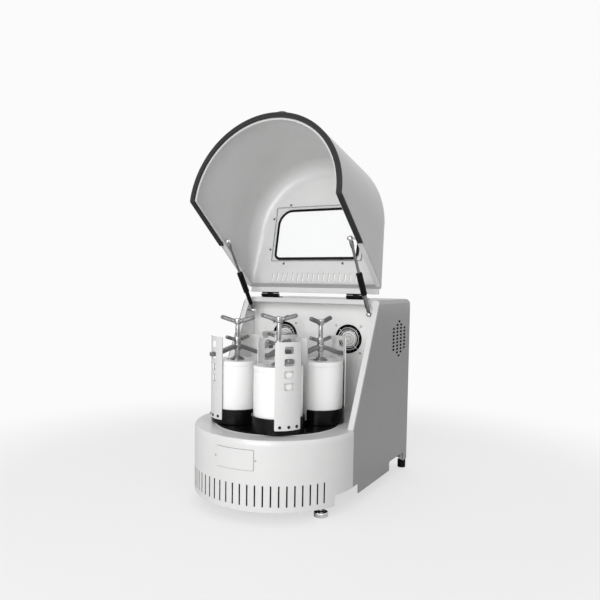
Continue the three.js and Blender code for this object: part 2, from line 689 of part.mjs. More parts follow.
function motor() {
  const low = PULLEY_Z + DRIVE_BELT_W + PULLEY_FLANGE + PULLEY_LIFT;
  const parts = [
    solid(box(-MOTOR_PLATE / 2, MOTOR_PLATE / 2, MOTOR_Y - MOTOR_PLATE / 2, MOTOR_Y + MOTOR_PLATE / 2,
      low, low + BASE_T)),
    solid(turned([[0, low], [MOTOR_R, low], [MOTOR_R, low + MOTOR_H - FLANGE_T],
      [MOTOR_R - FLANGE_T, low + MOTOR_H], [0, low + MOTOR_H]], ROUND_MID, 0, MOTOR_Y)),
    solid(box(MOTOR_R - OVER, MOTOR_R + MOTOR_BOX, MOTOR_Y - MOTOR_BOX, MOTOR_Y + MOTOR_BOX,
      low + MOTOR_H / 2, low + MOTOR_H / 2 + MOTOR_BOX * 2)),
  ];
  for (let i = 0; i < MOTOR_FINS; i += 1) {
    const a = 60 + 240 * i / (MOTOR_FINS - 1);
    parts.push(solid(box(MOTOR_R * Math.cos(Math.PI / ROUND_MID) - OVER, MOTOR_R + FIN_OUT, -OVER / 2, OVER / 2, low + FLANGE_T * 2,
      low + MOTOR_H - FLANGE_T * 2).rotateZ(rad(a)).translate(0, MOTOR_Y, 0)));
  }
  const reach = (MOTOR_PLATE - BRIDGE_LEG) / 2;
  for (const sx of [-1, 1]) {
    for (const sy of [-1, 1]) {
      parts.push(solid(rod(BRIDGE_LEG / 2, BASE_TOP + GAP, low + OVER, ROUND_SMALL, sx * reach, MOTOR_Y + sy * reach)));
    }
  }
  return join(parts).subtract(solid(rod(MOTOR_SHAFT_R + RUN, low - OVER, low + FLANGE_T * 3, ROUND_MID, 0, MOTOR_Y)));
}

function motorPulley() {
  const top = PULLEY_Z + DRIVE_BELT_W + PULLEY_FLANGE + PULLEY_LIFT + FLANGE_T * 2;
  return pulley(MOTOR_PULLEY_R, MOTOR_SHAFT_R - OVER, PULLEY_Z, DRIVE_BELT_W, 0, MOTOR_Y)
    .add(solid(rod(MOTOR_SHAFT_R, BASE_TOP + PULLEY_LIFT / 2, top, ROUND_MID, 0, MOTOR_Y)));
}

function driveBelt() {
  return belt(pairOutline, DRIVEN_R, MOTOR_PULLEY_R, MOTOR_Y, PULLEY_Z, DRIVE_BELT_W).rotateZ(Math.PI / 2);
}

const stationAngle = (k) => STATION_ANGLE + 360 * k / STATION_COUNT;

// Each planet belt turns two opposite holders from one groove of the sun pulley
function planetBelt(level) {
  return belt(tripleOutline, SUN_R, PLANET_R, STATION_R, beltZ(level), BELT_W).rotateZ(rad(stationAngle(level)));
}

function turntable() {
  const top = DECK_Z + TABLE_RISE;
  let body = solid(turned([[0, TABLE_LOW], [TABLE_R, TABLE_LOW], [TABLE_R, top - OVER], [TABLE_R - OVER, top], [CAP_R, top], [CAP_R - OVER, top + OVER], [0, top + OVER]],
  ROUND_BIG));
  for (let k = 0; k < STATION_COUNT; k += 1) {
    const [x, y] = at(STATION_R, stationAngle(k));
    body = body.subtract(solid(rod(PLANET_SHAFT_R + RUN, TABLE_LOW - OVER, top + OVER, ROUND_MID, x, y)));
  }
  return body;
}

// Hood, in its closed place

const HOOD_LOW = DECK_Z + SEAL_H;
const slopeOffset = SEAL_H * Math.hypot(1, slopeRise) / slopeRise;

// A stack of D-shaped rings with a rounded top edge, whose fillet narrows towards the rear
function dome(radius, top, fillet, rearFillet, low, rearY) {
  const positions = [];
  const count = ROUND_BIG / 2 + 3;
  const ring = (inset, z, rearInset, rearZ) => {
    positions.push(-radius + rearInset, rearY, rearZ);
    for (let i = 0; i <= ROUND_BIG / 2; i += 1) {
      const [x, y] = at(radius - inset, 180 + 180 * i / (ROUND_BIG / 2));
      positions.push(x, y, z);
    }
    positions.push(radius - rearInset, rearY, rearZ);
  };
  ring(0, low, 0, low);
  for (let i = 0; i <= FILLET_STEPS; i += 1) {
    const a = rad(90 * i / FILLET_STEPS);
    const [out, up] = [1 - Math.cos(a), Math.sin(a) - 1];
    ring(fillet * out, top + fillet * up, rearFillet * out, top + rearFillet * up);
  }
  const rings = FILLET_STEPS + 2;
  const index = [];
  for (let j = 0; j < rings - 1; j += 1) {
    for (let i = 0; i < count; i += 1) {
      const a = j * count + i;
      const b = j * count + (i + 1) % count;
      index.push(a, b, b + count, a, b + count, a + count);
    }
  }
  const last = (rings - 1) * count;
  for (let i = 1; i < count - 1; i += 1) {
    index.push(0, i + 1, i);
    index.push(last, last + i, last + i + 1);
  }
  const geometry = new THREE.BufferGeometry();
  geometry.setAttribute('position', new THREE.Float32BufferAttribute(positions, 3));
  geometry.setIndex(index);
  return solid(geometry);
}

// The band of the given thickness along the hood's lower edge, drawn in y and z
function edgeBand(lift, thickness, topZ) {
  const line = (offset, z) => slopeY(z) - offset;
  const off0 = slopeOffset * lift / SEAL_H;
  const off1 = slopeOffset * (lift + thickness) / SEAL_H;
  const low = DECK_Z + lift;
  const kink0 = line(off0, low);
  const kink1 = line(off1, low + thickness);
  return polygon([[-DRUM_R - OVER, low], [kink0, low], [line(off0, topZ), topZ], [line(off1, topZ), topZ],
    [kink1, low + thickness], [-DRUM_R - OVER, low + thickness]]);
}

function hoodShell() {
  const underside = HOOD_TOP - SHEET;
  const outer = dome(DRUM_R, HOOD_TOP, HOOD_FILLET, REAR_FILLET, HOOD_LOW - OVER, HOOD_REAR_Y);
  const inner = dome(DRUM_R - SHEET, underside, HOOD_FILLET - SHEET, REAR_FILLET - SHEET, HOOD_LOW - OVER * 2,
    HOOD_REAR_Y + OVER);
  // everything behind the slanted edge and below the top sheet goes
  const far = REAR_Y;
  const off = slopeOffset;
  const behind = polygon([[slopeY(HOOD_LOW) - off, HOOD_LOW - OVER * 3], [far, HOOD_LOW - OVER * 3],
    [far, underside], [slopeY(underside) - off, underside], [slopeY(HOOD_LOW) - off, HOOD_LOW]]);
  const below = box(-DRUM_R - OVER, DRUM_R + OVER, -DRUM_R - OVER, far, HOOD_LOW - OVER * 3, HOOD_LOW);
  const trim = [solid(across(behind, -DRUM_R - OVER, DRUM_R + OVER)), solid(below)];
  const whole = cut(outer, trim);
  let shell = whole.subtract(inner);
  const rim = whole.intersect(solid(across(edgeBand(SEAL_H, SHEET, underside), -DRUM_R, DRUM_R)))
    .subtract(solid(raised(dShape(DRUM_R - RIM_W, far), HOOD_LOW - OVER, underside - REAR_RIM_W)));
  shell = shell.add(rim);
  const half = WINDOW_W / 2;
  const pane = roundedRectangle(-half, half, WINDOW_FRONT_Y, WINDOW_REAR_Y,
    [WINDOW_FRONT_R, WINDOW_FRONT_R, WINDOW_REAR_R, WINDOW_REAR_R]);
  const tools = [solid(raised(pane, underside - OVER, HOOD_TOP + OVER, 5))];
  for (let i = 0; i < VENT_COUNT; i += 1) {
    const x = (i - (VENT_COUNT - 1) / 2) * VENT_PITCH;
    tools.push(solid(box(x - VENT_W / 2, x + VENT_W / 2, VENT_Y0, VENT_Y1, underside - OVER, HOOD_TOP + OVER)));
  }
  shell = cut(shell, tools);
  const [ballY, ballZ] = closedStrutBall();
  for (const side of [-1, 1]) {
    shell = shell.add(solid(stud(side, ballY, ballZ))).add(hoodLeaf(side * LEAF_X));
  }
  return shell;
}

// A stud that reaches from a side sheet to the eye of a strut
function stud(side, y, z) {
  const eye = STRUT_X + STRUT_EYE_W / 2 + GAP;
  return rod(STUD_R, eye, DRUM_R - SHEET / 2, ROUND_SMALL).rotateY(side * Math.PI / 2).translate(0, y, z);
}

function closedStrutBall() {
  const a = rad(HOOD_OPEN);
  const dy = STRUT_HIGH_Y - HINGE_Y;
  const dz = STRUT_HIGH_Z - HINGE_Z;
  return [HINGE_Y + dy * Math.cos(a) - dz * Math.sin(a), HINGE_Z + dy * Math.sin(a) + dz * Math.cos(a)];
}

function hoodSeal() {
  const band = solid(across(edgeBand(GAP, SEAL_H - GAP * 2, HOOD_LOW + SEAL_END), -DRUM_R, DRUM_R));
  const keep = solid(raised(dShape(DRUM_R, REAR_Y), DECK_Z, HOOD_TOP));
  const drop = solid(raised(dShape(DRUM_R - SEAL_W, REAR_Y), DECK_Z - OVER, HOOD_TOP + OVER));
  return band.intersect(keep).subtract(drop);
}

function windowPane() {
  const half = WINDOW_W / 2 + PANE_LAP;
  const top = HOOD_TOP - SHEET - GAP;
  const outline = roundedRectangle(-half, half, WINDOW_FRONT_Y - PANE_LAP, WINDOW_REAR_Y + PANE_LAP,
    Array(4).fill(PANE_LAP / 2));
  return raised(outline, top - PANE_T, top, 2);
}

function hoodHandle() {
  const half = HANDLE_SPAN / 2;
  const root = -DRUM_R * Math.cos(Math.asin(half / DRUM_R));
  const reach = DRUM_R + HANDLE_OUT + root;
  const points = [new THREE.Vector3(-half, root + HANDLE_T, HANDLE_Z)];
  for (let i = 0; i <= HANDLE_STEPS; i += 1) {
    const a = rad(180 * i / HANDLE_STEPS);
    points.push(new THREE.Vector3(-half * Math.cos(a), root - reach * Math.sin(a), HANDLE_Z));
  }
  points.push(new THREE.Vector3(half, root + HANDLE_T, HANDLE_Z));
  const path = new THREE.CatmullRomCurve3(points);
  const section = polygon(Array.from({ length: ROUND_HOLE }, (_, i) => at(HANDLE_T, 360 * i / ROUND_HOLE)));
  const bow = new THREE.ExtrudeGeometry(section, { extrudePath: path, steps: HANDLE_STEPS + 2, bevelEnabled: false });
  const wall = solid(rod(DRUM_R + GAP, HANDLE_Z - HANDLE_T * 3, HANDLE_Z + HANDLE_T * 3, ROUND_BIG));
  return solid(bow).subtract(wall);
}

// Hinges: the body leaf holds the pin and the outer knuckles, the hood leaf the middle one

function knuckle(x0, x1, r) {
  return solid(rod(r, x0, x1, ROUND_SMALL).rotateY(Math.PI / 2).translate(0, HINGE_Y, HINGE_Z));
}

function bodyLeaf(x) {
  const low = CASING_TOP + GAP;
  const x0 = x - LEAF_W / 2;
  const x1 = x + LEAF_W / 2;
  const third = LEAF_W / 3;
  let leaf = solid(box(x0, x1, HINGE_Y, HINGE_Y + LEAF_D, low, low + LEAF_T));
  leaf = leaf.add(knuckle(x0, x0 + third - GAP, KNUCKLE_R)).add(knuckle(x1 - third + GAP, x1, KNUCKLE_R));
  leaf = leaf.subtract(solid(box(x0 + third - GAP, x1 - third + GAP, HINGE_Y - OVER, HINGE_Y + KNUCKLE_R + GAP,
    low - OVER, HINGE_Z)));
  return leaf.add(knuckle(x0, x1, PIN_R));
}

// The hood's leaves are welded to its top sheet
function hoodLeaf(x) {
  const low = HOOD_TOP - GAP;
  const third = LEAF_W / 3;
  const x0 = x - LEAF_W / 2;
  const x1 = x + LEAF_W / 2;
  let leaf = solid(box(x0, x1, HINGE_Y - LEAF_D - KNUCKLE_R, HINGE_Y - KNUCKLE_R - GAP, low, low + LEAF_T));
  leaf = leaf.add(solid(box(x0 + third, x1 - third, HINGE_Y - KNUCKLE_R - OVER, HINGE_Y, low, low + LEAF_T)));
  leaf = leaf.add(knuckle(x0 + third, x1 - third, KNUCKLE_R));
  return leaf.subtract(knuckle(x0 + third - OVER, x1 - third + OVER, PIN_R + GAP));
}

// Gas struts, each drawn along +z from its lower eye

const strutLean = Math.atan2(STRUT_LOW_Y - STRUT_HIGH_Y, STRUT_HIGH_Z - STRUT_LOW_Z);
const strutLength = Math.hypot(STRUT_LOW_Y - STRUT_HIGH_Y, STRUT_HIGH_Z - STRUT_LOW_Z);

function strutEye(z) {
  return solid(rod(STRUT_BALL_R, -STRUT_EYE_W / 2, STRUT_EYE_W / 2, ROUND_SMALL).rotateY(Math.PI / 2)
    .translate(0, 0, z));
}

function strutCylinder() {
  const top = STRUT_CYL_L;
  const split = top - STRUT_SLEEVE_L;
  const body = solid(turned([[0, 0], [STRUT_SHANK_R, 0], [STRUT_SHANK_R, STRUT_SHANK_L], [STRUT_TUBE_R, STRUT_SHANK_L + OVER],
    [STRUT_TUBE_R, split], [STRUT_CYL_R, split + OVER], [STRUT_CYL_R, top - OVER], [STRUT_TUBE_R, top], [0, top]],
  ROUND_SMALL));
  const bore = solid(rod(STRUT_ROD_R + RUN, STRUT_SHANK_L + OVER * 2, top + OVER, ROUND_SMALL));
  return body.add(strutEye(0)).subtract(bore);
}

function strutRod() {
  const low = STRUT_CYL_L - STRUT_LAP;
  const body = solid(turned([[0, low], [STRUT_ROD_R, low], [STRUT_ROD_R, strutLength - STRUT_SHANK_L],
    [STRUT_TUBE_R, strutLength - STRUT_SHANK_L + OVER], [STRUT_TUBE_R, strutLength - STRUT_BALL_R / 2],
    [0, strutLength - STRUT_BALL_R / 2]], ROUND_SMALL));
  return body.add(strutEye(strutLength));
}

// Stations, each drawn round its own axis with its crossbar along x

function holder(k) {
  const low = DECK_Z + TABLE_RISE + GAP;
  const floor = low + HOLDER_FLOOR;
  const level = k % BELT_LEVELS;
  const bore = JAR_R + GAP * 2;
  const body = solid(turned([[0, low], [HOLDER_R - OVER, low], [HOLDER_R, low + OVER], [HOLDER_R, low + HOLDER_H],
    [bore, low + HOLDER_H], [bore, floor], [0, floor]], ROUND_JAR));
  const shaft = solid(rod(PLANET_SHAFT_R, beltZ(level) - PULLEY_FLANGE, low + OVER, ROUND_MID));
  return join([body, shaft, pulley(PLANET_R, PLANET_SHAFT_R - OVER, beltZ(level), BELT_W), fences()]);
}

// Two plates screwed to the holder's flats, with openings that take the crossbar
function fences() {
  const low = DECK_Z + TABLE_RISE + GAP * 2;
  const top = DECK_Z + PLATE_TOP;
  const inner = HOLDER_R * Math.cos(Math.PI / ROUND_JAR);
  const outer = inner + PLATE_T;
  const points = [];
  const step = PLATE_HALF_ANGLE * 2 / PLATE_FACETS;
  for (let i = 0; i <= PLATE_FACETS; i += 1) points.push(at(outer, -PLATE_HALF_ANGLE + i * step));
  for (let i = PLATE_FACETS; i >= 0; i -= 1) points.push(at(inner, -PLATE_HALF_ANGLE + i * step));
  let plate = solid(raised(polygon(points), low, top));
  for (let i = 0; i < PANE_COUNT; i += 1) {
    const z1 = top - OPENING_FIRST - i * OPENING_STEP;
    plate = plate.subtract(solid(box(0, outer + OVER, -OPENING_W / 2, OPENING_W / 2, z1 - OPENING_H, z1)));
  }
  return plate.add(plate.rotate([0, 0, 180]));
}

function jar() {
  const low = DECK_Z + TABLE_RISE + GAP * 2 + HOLDER_FLOOR;
  const top = DECK_Z + JAR_TOP;
  const inner = JAR_R - JAR_WALL;
  return turned([[0, low], [JAR_R - OVER, low], [JAR_R, low + OVER], [JAR_R, top], [inner, top],
    [inner, low + JAR_WALL], [0, low + JAR_WALL]], ROUND_JAR);
}

function lid() {
  const low = DECK_Z + JAR_TOP + GAP;
  const top = low + LID_T;
  const plug = JAR_R - JAR_WALL - GAP;
  return turned([[0, low - LID_PLUG], [plug, low - LID_PLUG], [plug, low], [JAR_R, low], [JAR_R, top - OVER],
    [JAR_R - OVER, top], [LID_STEP_R, top], [LID_STEP_R, top - OVER], [0, top - OVER]], ROUND_JAR);
}

const LID_TOP = DECK_Z + JAR_TOP + GAP + LID_T;

function crossbar() {
  const hub = DECK_Z + HUB_LOW;
  const end1 = DECK_Z + PLATE_TOP - OPENING_FIRST - OPENING_STEP - GAP * 2;
  const end0 = end1 - BAR_T;
  const flat = HOLDER_R - PLATE_T * 2;
  const tip = BAR_END_R;
  const outline = polygon([[tip, end0], [tip, end1], [flat, end1], [HUB_R + OVER, hub + HUB_H - OVER],
    [-HUB_R - OVER, hub + HUB_H - OVER], [-flat, end1], [-tip, end1], [-tip, end0], [-flat, end0],
    [-HUB_R, hub], [HUB_R, hub], [flat, end0]].reverse());
  const plan = roundedRectangle(-tip, tip, -BAR_W / 2, BAR_W / 2, Array(4).fill(BAR_W / 2 - OVER));
  const bar = solid(along(outline, -BAR_W / 2, BAR_W / 2))
    .intersect(solid(raised(plan, end0 - OVER, hub + HUB_H + OVER, 2)));
  const boss = solid(rod(HUB_R, hub - OVER, hub + HUB_H, ROUND_FINE));
  return bar.add(boss).subtract(solid(rod(SCREW_R + GAP * 2, hub - OVER * 3, hub + HUB_H + OVER, ROUND_FINE)));
}

function pad() {
  const low = LID_TOP - OVER + GAP;
  return turned([[0, low], [PAD_R, low], [PAD_R, low + PAD_T],
    [SCREW_R * 2, low + PAD_T], [SCREW_R * 2, low + PAD_T + PAD_LIP], [SCREW_R + GAP * 2, low + PAD_T + PAD_LIP],
    [SCREW_R + GAP * 2, low + PAD_T], [0, low + PAD_T]], ROUND_FINE);
}

// Two arms that rise from the middle of a hub
function wings(reach, z, thick) {
  const r = thick / 2 - GAP;
  const arm = roundedRectangle(0, reach / Math.cos(rad(WING_RISE)), -thick / 2, thick / 2, [0, r, r, 0]);
  const bar = solid(raised(arm, -WING_WIDE / 2, WING_WIDE / 2, 1).rotateX(Math.PI / 2)).rotate([0, -WING_RISE, 0]);
  return bar.add(bar.rotate([0, 0, 180])).translate([0, 0, z]);
}

function clampScrew(facing) {
  const low = LID_TOP - OVER + GAP * 2 + PAD_T;
  const handle = DECK_Z + HANDLE_LOW;
  const body = solid(turned([[0, low], [SCREW_R, low], [SCREW_R, handle], [NUT_R, handle + OVER],
    [NUT_R, handle + HANDLE_H - OVER], [NUT_R - OVER, handle + HANDLE_H], [0, handle + HANDLE_H]], ROUND_FINE));
  return body.add(wings(HANDLE_WING, handle + HANDLE_H / 2, WING_T).rotate([0, 0, facing]));
}

function lockNut(facing) {
  const low = DECK_Z + HUB_LOW + HUB_H + GAP;
  const body = solid(turned([[0, low], [NUT_R, low], [NUT_R, low + NUT_H - OVER], [NUT_R - OVER, low + NUT_H],
    [0, low + NUT_H]], ROUND_FINE));
  return body.add(wings(NUT_WING, low + NUT_H / 2, WING_T - OVER).rotate([0, 0, facing]))
    .subtract(solid(rod(SCREW_R + GAP * 2, low - OVER, low + NUT_H + OVER, ROUND_FINE)));
}

// The model

const m = materials;
const SIDES = [[-1, 'left'], [1, 'right']];
place('base_plate', basePlate(), m.steel);
place('drum_shell', drumShell(), m.white);
place('casing', casing().add(join([-1, 1].map((s) => solid(stud(s, STRUT_LOW_Y, STRUT_LOW_Z))))), m.white);
place('chamber_back', chamberBack(), m.white);
place('rear_panel', rearPanel(), m.white);
place('power_inlet', powerInlet(), m.black);
for (const [side, name] of SIDES) {
  place(`levelling_foot_${name}`, levellingFoot(side), m.chrome);
  place(`rear_foot_${name}`, rearFoot(side), m.rubber);
  place(`fan_frame_${name}`, fanFrame(side * FAN_X), m.black);
  place(`fan_rotor_${name}`, fanRotor(side * FAN_X), m.black);
  place(`hinge_leaf_${name}`, bodyLeaf(side * LEAF_X), m.black);
}
place('motor', motor(), m.grey);
place('motor_pulley', motorPulley(), m.steel);
place('drive_belt', driveBelt(), m.rubber);
place('bearing_housing', bearingHousing(), m.steel);
place('main_shaft', mainShaft(), m.steel);
for (let k = 0; k < BELT_LEVELS; k += 1) place(`planet_belt_${k + 1}`, planetBelt(k), m.rubber);
place('turntable', turntable(), m.black);

const hood = new THREE.Group();
hood.position.set(0, HINGE_Y, HINGE_Z);
hood.rotation.x = -rad(HOOD_OPEN);
stage.add(hood);
const hoodParts = new THREE.Group();
hoodParts.position.set(0, -HINGE_Y, -HINGE_Z);
hood.add(hoodParts);
place('hood_shell', hoodShell(), m.grey, hoodParts);
place('hood_seal', hoodSeal(), m.rubber, hoodParts);
place('window_pane', windowPane(), m.glass, hoodParts);
place('hood_handle', hoodHandle(), m.chrome, hoodParts);

for (const [side, name] of SIDES) {
  const strut = new THREE.Group();
  strut.position.set(side * STRUT_X, STRUT_LOW_Y, STRUT_LOW_Z);
  strut.rotation.x = strutLean;
  stage.add(strut);
  place(`strut_cylinder_${name}`, strutCylinder(), m.black, strut);
  place(`strut_rod_${name}`, strutRod(), m.steel, strut);
}

for (let k = 0; k < STATION_COUNT; k += 1) {
  const station = new THREE.Group();
  const [x, y] = at(STATION_R, stationAngle(k));
  station.position.set(x, y, 0);
  station.rotation.z = rad(STATION_FACING[k]);
  stage.add(station);
  const n = k + 1;
  place(`jar_holder_${n}`, holder(k), m.black, station);
  place(`jar_${n}`, jar(), m.ceramic, station);
  place(`jar_lid_${n}`, lid(), m.ceramic, station);
  place(`crossbar_${n}`, crossbar(), m.steel, station);
  place(`pressure_pad_${n}`, pad(), m.black, station);
  place(`clamp_screw_${n}`, clampScrew(HANDLE_FACING[k] - STATION_FACING[k]), m.steel, station);
  place(`lock_nut_${n}`, lockNut(NUT_FACING[k] - STATION_FACING[k]), m.steel, station);
}

export default model;
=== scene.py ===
# Planetary ball mill: the looks of each piece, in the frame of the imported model
import bpy, bmesh, math
import numpy as np
from mathutils import Matrix, Vector
from mathutils.geometry import delaunay_2d_cdt


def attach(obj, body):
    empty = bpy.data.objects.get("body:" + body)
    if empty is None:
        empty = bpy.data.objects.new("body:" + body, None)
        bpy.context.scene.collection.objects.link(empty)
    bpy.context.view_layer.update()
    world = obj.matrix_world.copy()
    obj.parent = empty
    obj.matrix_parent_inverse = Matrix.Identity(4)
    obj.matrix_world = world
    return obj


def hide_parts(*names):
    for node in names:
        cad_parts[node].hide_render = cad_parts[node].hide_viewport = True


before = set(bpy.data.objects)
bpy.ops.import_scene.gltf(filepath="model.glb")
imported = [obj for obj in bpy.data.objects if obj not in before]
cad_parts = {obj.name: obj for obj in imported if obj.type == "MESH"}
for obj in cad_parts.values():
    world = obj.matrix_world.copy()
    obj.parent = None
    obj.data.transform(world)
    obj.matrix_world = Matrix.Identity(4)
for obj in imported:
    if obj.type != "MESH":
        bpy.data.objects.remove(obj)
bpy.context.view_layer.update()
print("frame loaded")

# Millimetres about the turntable axis, x to the right, y to the back, z up from the floor
body = dict(radius=235, sheet=3, footHeight=28, deckZ=211, seamY=4, slopeTopY=181, topZ=560, rearY=449,
            edgeRadius=16, backWallY=231, offsetY=-107)

def cosd(a):
    # cosine of degrees
    return np.cos(np.radians(a))

def sind(a):
    # sine of degrees
    return np.sin(np.radians(a))

def turns(count):
    # so many angles in radians, evenly round a circle
    return np.linspace(0, 2 * np.pi, count, endpoint=False)

def gridSurface(points, closeU=False, closeV=False):
    # quads over an array of points (rows u, columns v), joined end to end where closed
    nu, nv = points.shape[:2]
    i = np.arange(nu if closeU else nu - 1)[:, None]
    j = np.arange(nv if closeV else nv - 1)[None, :]
    nextI, nextJ = (i + 1) % nu, (j + 1) % nv
    corners = [i * nv + j, i * nv + nextJ, nextI * nv + nextJ, nextI * nv + j]
    return points.reshape(-1, 3), np.stack(corners, -1).reshape(-1, 4)

def capped(grid, upwards=False):
    # a grid closed round v, with one flat face over its first row and one over its last;
    # upwards is for rows that climb anticlockwise, so that the two faces point outwards
    v, f = gridSurface(grid, closeV=True)
    n = grid.shape[1]
    first, last = list(range(n)), list(range(len(v) - n, len(v)))
    return v, f.tolist() + ([first[::-1], last] if upwards else [first, last[::-1]])

def softCorners(points, radii, steps=5):
    # a profile whose corners are rounded by quadratic arcs: (1-t)^2 start + 2t(1-t) corner + t^2 end
    p = np.asarray(points, float)
    out = [p[0]]
    for k in range(1, len(p) - 1):
        r = radii[k] if hasattr(radii, "__len__") else radii
        a, b = p[k - 1] - p[k], p[k + 1] - p[k]
        la, lb = np.linalg.norm(a), np.linalg.norm(b)
        r = min(r, la * 0.49, lb * 0.49)    # neighbouring arcs never meet
        if r < 1e-6:
            out.append(p[k])
            continue
        t = np.linspace(0, 1, steps + 1)[:, None]
        s, e = p[k] + a / la * r, p[k] + b / lb * r
        out.extend((1 - t) ** 2 * s + 2 * t * (1 - t) * p[k] + t ** 2 * e)
    out.append(p[-1])
    return np.array(out)

def lathe(profile, around=64, axis="z", x=0, y=0, z=0):
    # a profile of (radius, distance along the axis) turned about the line along axis through x, y, z
    p = np.asarray(profile, float)
    t = turns(around)
    a, b, c = p[:, None, 0] * np.cos(t), p[:, None, 0] * np.sin(t), np.repeat(p[:, 1:2], around, 1)
    grid = dict(x=(c + x, a + y, b + z), y=(b + x, c + y, a + z), z=(a + x, b + y, c + z))[axis]
    return gridSurface(np.stack(grid, -1), closeV=True)

def softLathe(profile, radii, around, steps=5, **at):
    # a profile turned about a line after its corners are rounded
    return lathe(softCorners(profile, radii, steps), around, **at)

def turned(radius, low, high, soft=0.6, around=48, inner=None, steps=5, **at):
    # a plain turned length from low to high, or a ring where it has an inner radius
    if inner is None:
        profile = [(0, low), (radius, low), (radius, high), (0, high)]
    else:
        profile = [(inner, low), (radius, low), (radius, high), (inner, high), (inner, low)]
    return softLathe(profile, soft, around, steps, **at)

def moved(part, matrix):
    # turned and shifted by a 4 x 4 matrix
    v, f = part[:2]
    m = np.array(matrix)
    return (v @ m[:3, :3].T + m[:3, 3], f) + tuple(part[2:])

def shifted(part, x=0, y=0, z=0):
    # the same part, further along by x, y, z
    return (part[0] + np.array([x, y, z]),) + tuple(part[1:])

def mirrored(part):
    # the part's mirror image across the middle plane, with its faces turned round again
    return (part[0] * [-1, 1, 1], [q[::-1] for q in part[1]]) + tuple(part[2:])

def spin(degrees, axis="Z"):
    # the 4 x 4 matrix of a turn about an axis through the origin
    return Matrix.Rotation(math.radians(degrees), 4, axis)

def roundedRectangle(x0, x1, y0, y1, radii, steps=6):
    # a quarter circle at each corner, anticlockwise from the lower left
    radii = [radii] * 4 if not hasattr(radii, "__len__") else radii
    corners = [(x0, y0, 1, 1, 180), (x1, y0, -1, 1, 270), (x1, y1, -1, -1, 0), (x0, y1, 1, -1, 90)]
    out = []
    for (x, y, sx, sy, start), r in zip(corners, radii):
        t = start + np.linspace(0, 90, steps + 1)
        arc = np.stack([x + sx * r + r * cosd(t), y + sy * r + r * sind(t)], -1)
        out.append(arc if r > 1e-6 else np.array([[x, y]]))
    return np.vstack(out)

def arcLine(radius, start, end, count, z=None):
    # points at a radius from one angle to another, flat or at a height
    t = np.linspace(start, end, count)
    line = [radius * cosd(t), radius * sind(t)]
    return np.stack(line if z is None else line + [np.full_like(t, z)], -1)

def atHeight(line, z):
    # a flat line laid level at height z
    return np.column_stack([line, np.full(len(line), z)])

def circle(radius, x=0, y=0, count=32):
    # a closed round outline about x, y
    t = np.linspace(0, 360, count, endpoint=False)
    return np.stack([x + radius * cosd(t), y + radius * sind(t)], -1)

def slab(x0, x1, y0, y1, z0, z1, corner=1.0, edge=0.6, steps=4):
    # a block with rounded upright corners, whose outline is set in along quarter arcs at its top and bottom
    t = np.linspace(0, 90, 4)
    rings = [(edge * (1 - sind(a)), z0 + edge * (1 - cosd(a))) for a in t] + \
            [(edge * (1 - sind(a)), z1 - edge * (1 - cosd(a))) for a in t[::-1]]
    grid = []
    for inset, z in rings:
        o = roundedRectangle(x0 + inset, x1 - inset, y0 + inset, y1 - inset, max(corner - inset, 0.01), steps)
        grid.append(atHeight(o, z))
    return capped(np.array(grid), upwards=True)

def carried(path, section, closed=False, start=None):
    # a section of (side, up) points carried along a path: each side vector is the last one
    # less its share along the new direction, so the section turns as little as possible
    p = np.asarray(path, float)
    d = np.roll(p, -1, 0) - np.roll(p, 1, 0)
    if not closed:
        d[0], d[-1] = p[1] - p[0], p[-1] - p[-2]
    d /= np.linalg.norm(d, axis=1)[:, None]
    if start is None:
        start = (0, 0, 1.0) if abs(d[0, 2]) < 0.9 else (1.0, 0, 0)
    side = np.zeros_like(p)
    last = np.array(start)
    for k in range(len(p)):
        last = last - d[k] * (last @ d[k])
        last = side[k] = last / np.linalg.norm(last)
    up = np.cross(d, side)
    sec = np.asarray(section, float)
    grid = p[:, None, :] + side[:, None, :] * sec[None, :, :1] + up[:, None, :] * sec[None, :, 1:]
    return gridSurface(grid, closeU=True, closeV=True) if closed else capped(grid)

def spaced(points, step, closed=True):
    # points added along straight runs so that none is longer than step
    p = np.asarray(points, float)
    out = []
    for k in range(len(p) if closed else len(p) - 1):
        a, b = p[k], p[(k + 1) % len(p)]
        n = max(1, int(math.ceil(np.linalg.norm(b - a) / step)))
        out.append(a + (b - a) * (np.arange(n) / n)[:, None])
    if not closed:
        out.append(p[-1:])
    return np.vstack(out)

def insideLoop(q, loop):
    # even-odd rule for many points against one outline
    inside = np.zeros(len(q), bool)
    for (x0, y0), (x1, y1) in zip(loop, np.roll(loop, -1, 0)):
        if y0 != y1:
            across = (x1 - x0) * (q[:, 1] - y0) / (y1 - y0) + x0
            inside ^= ((y0 > q[:, 1]) != (y1 > q[:, 1])) & (q[:, 0] < across)
    return inside

def onSheet(q, loops):
    # inside the first outline and outside each other one
    keep = insideLoop(q, loops[0])
    for hole in loops[1:]:
        keep &= ~insideLoop(q, hole)
    return keep

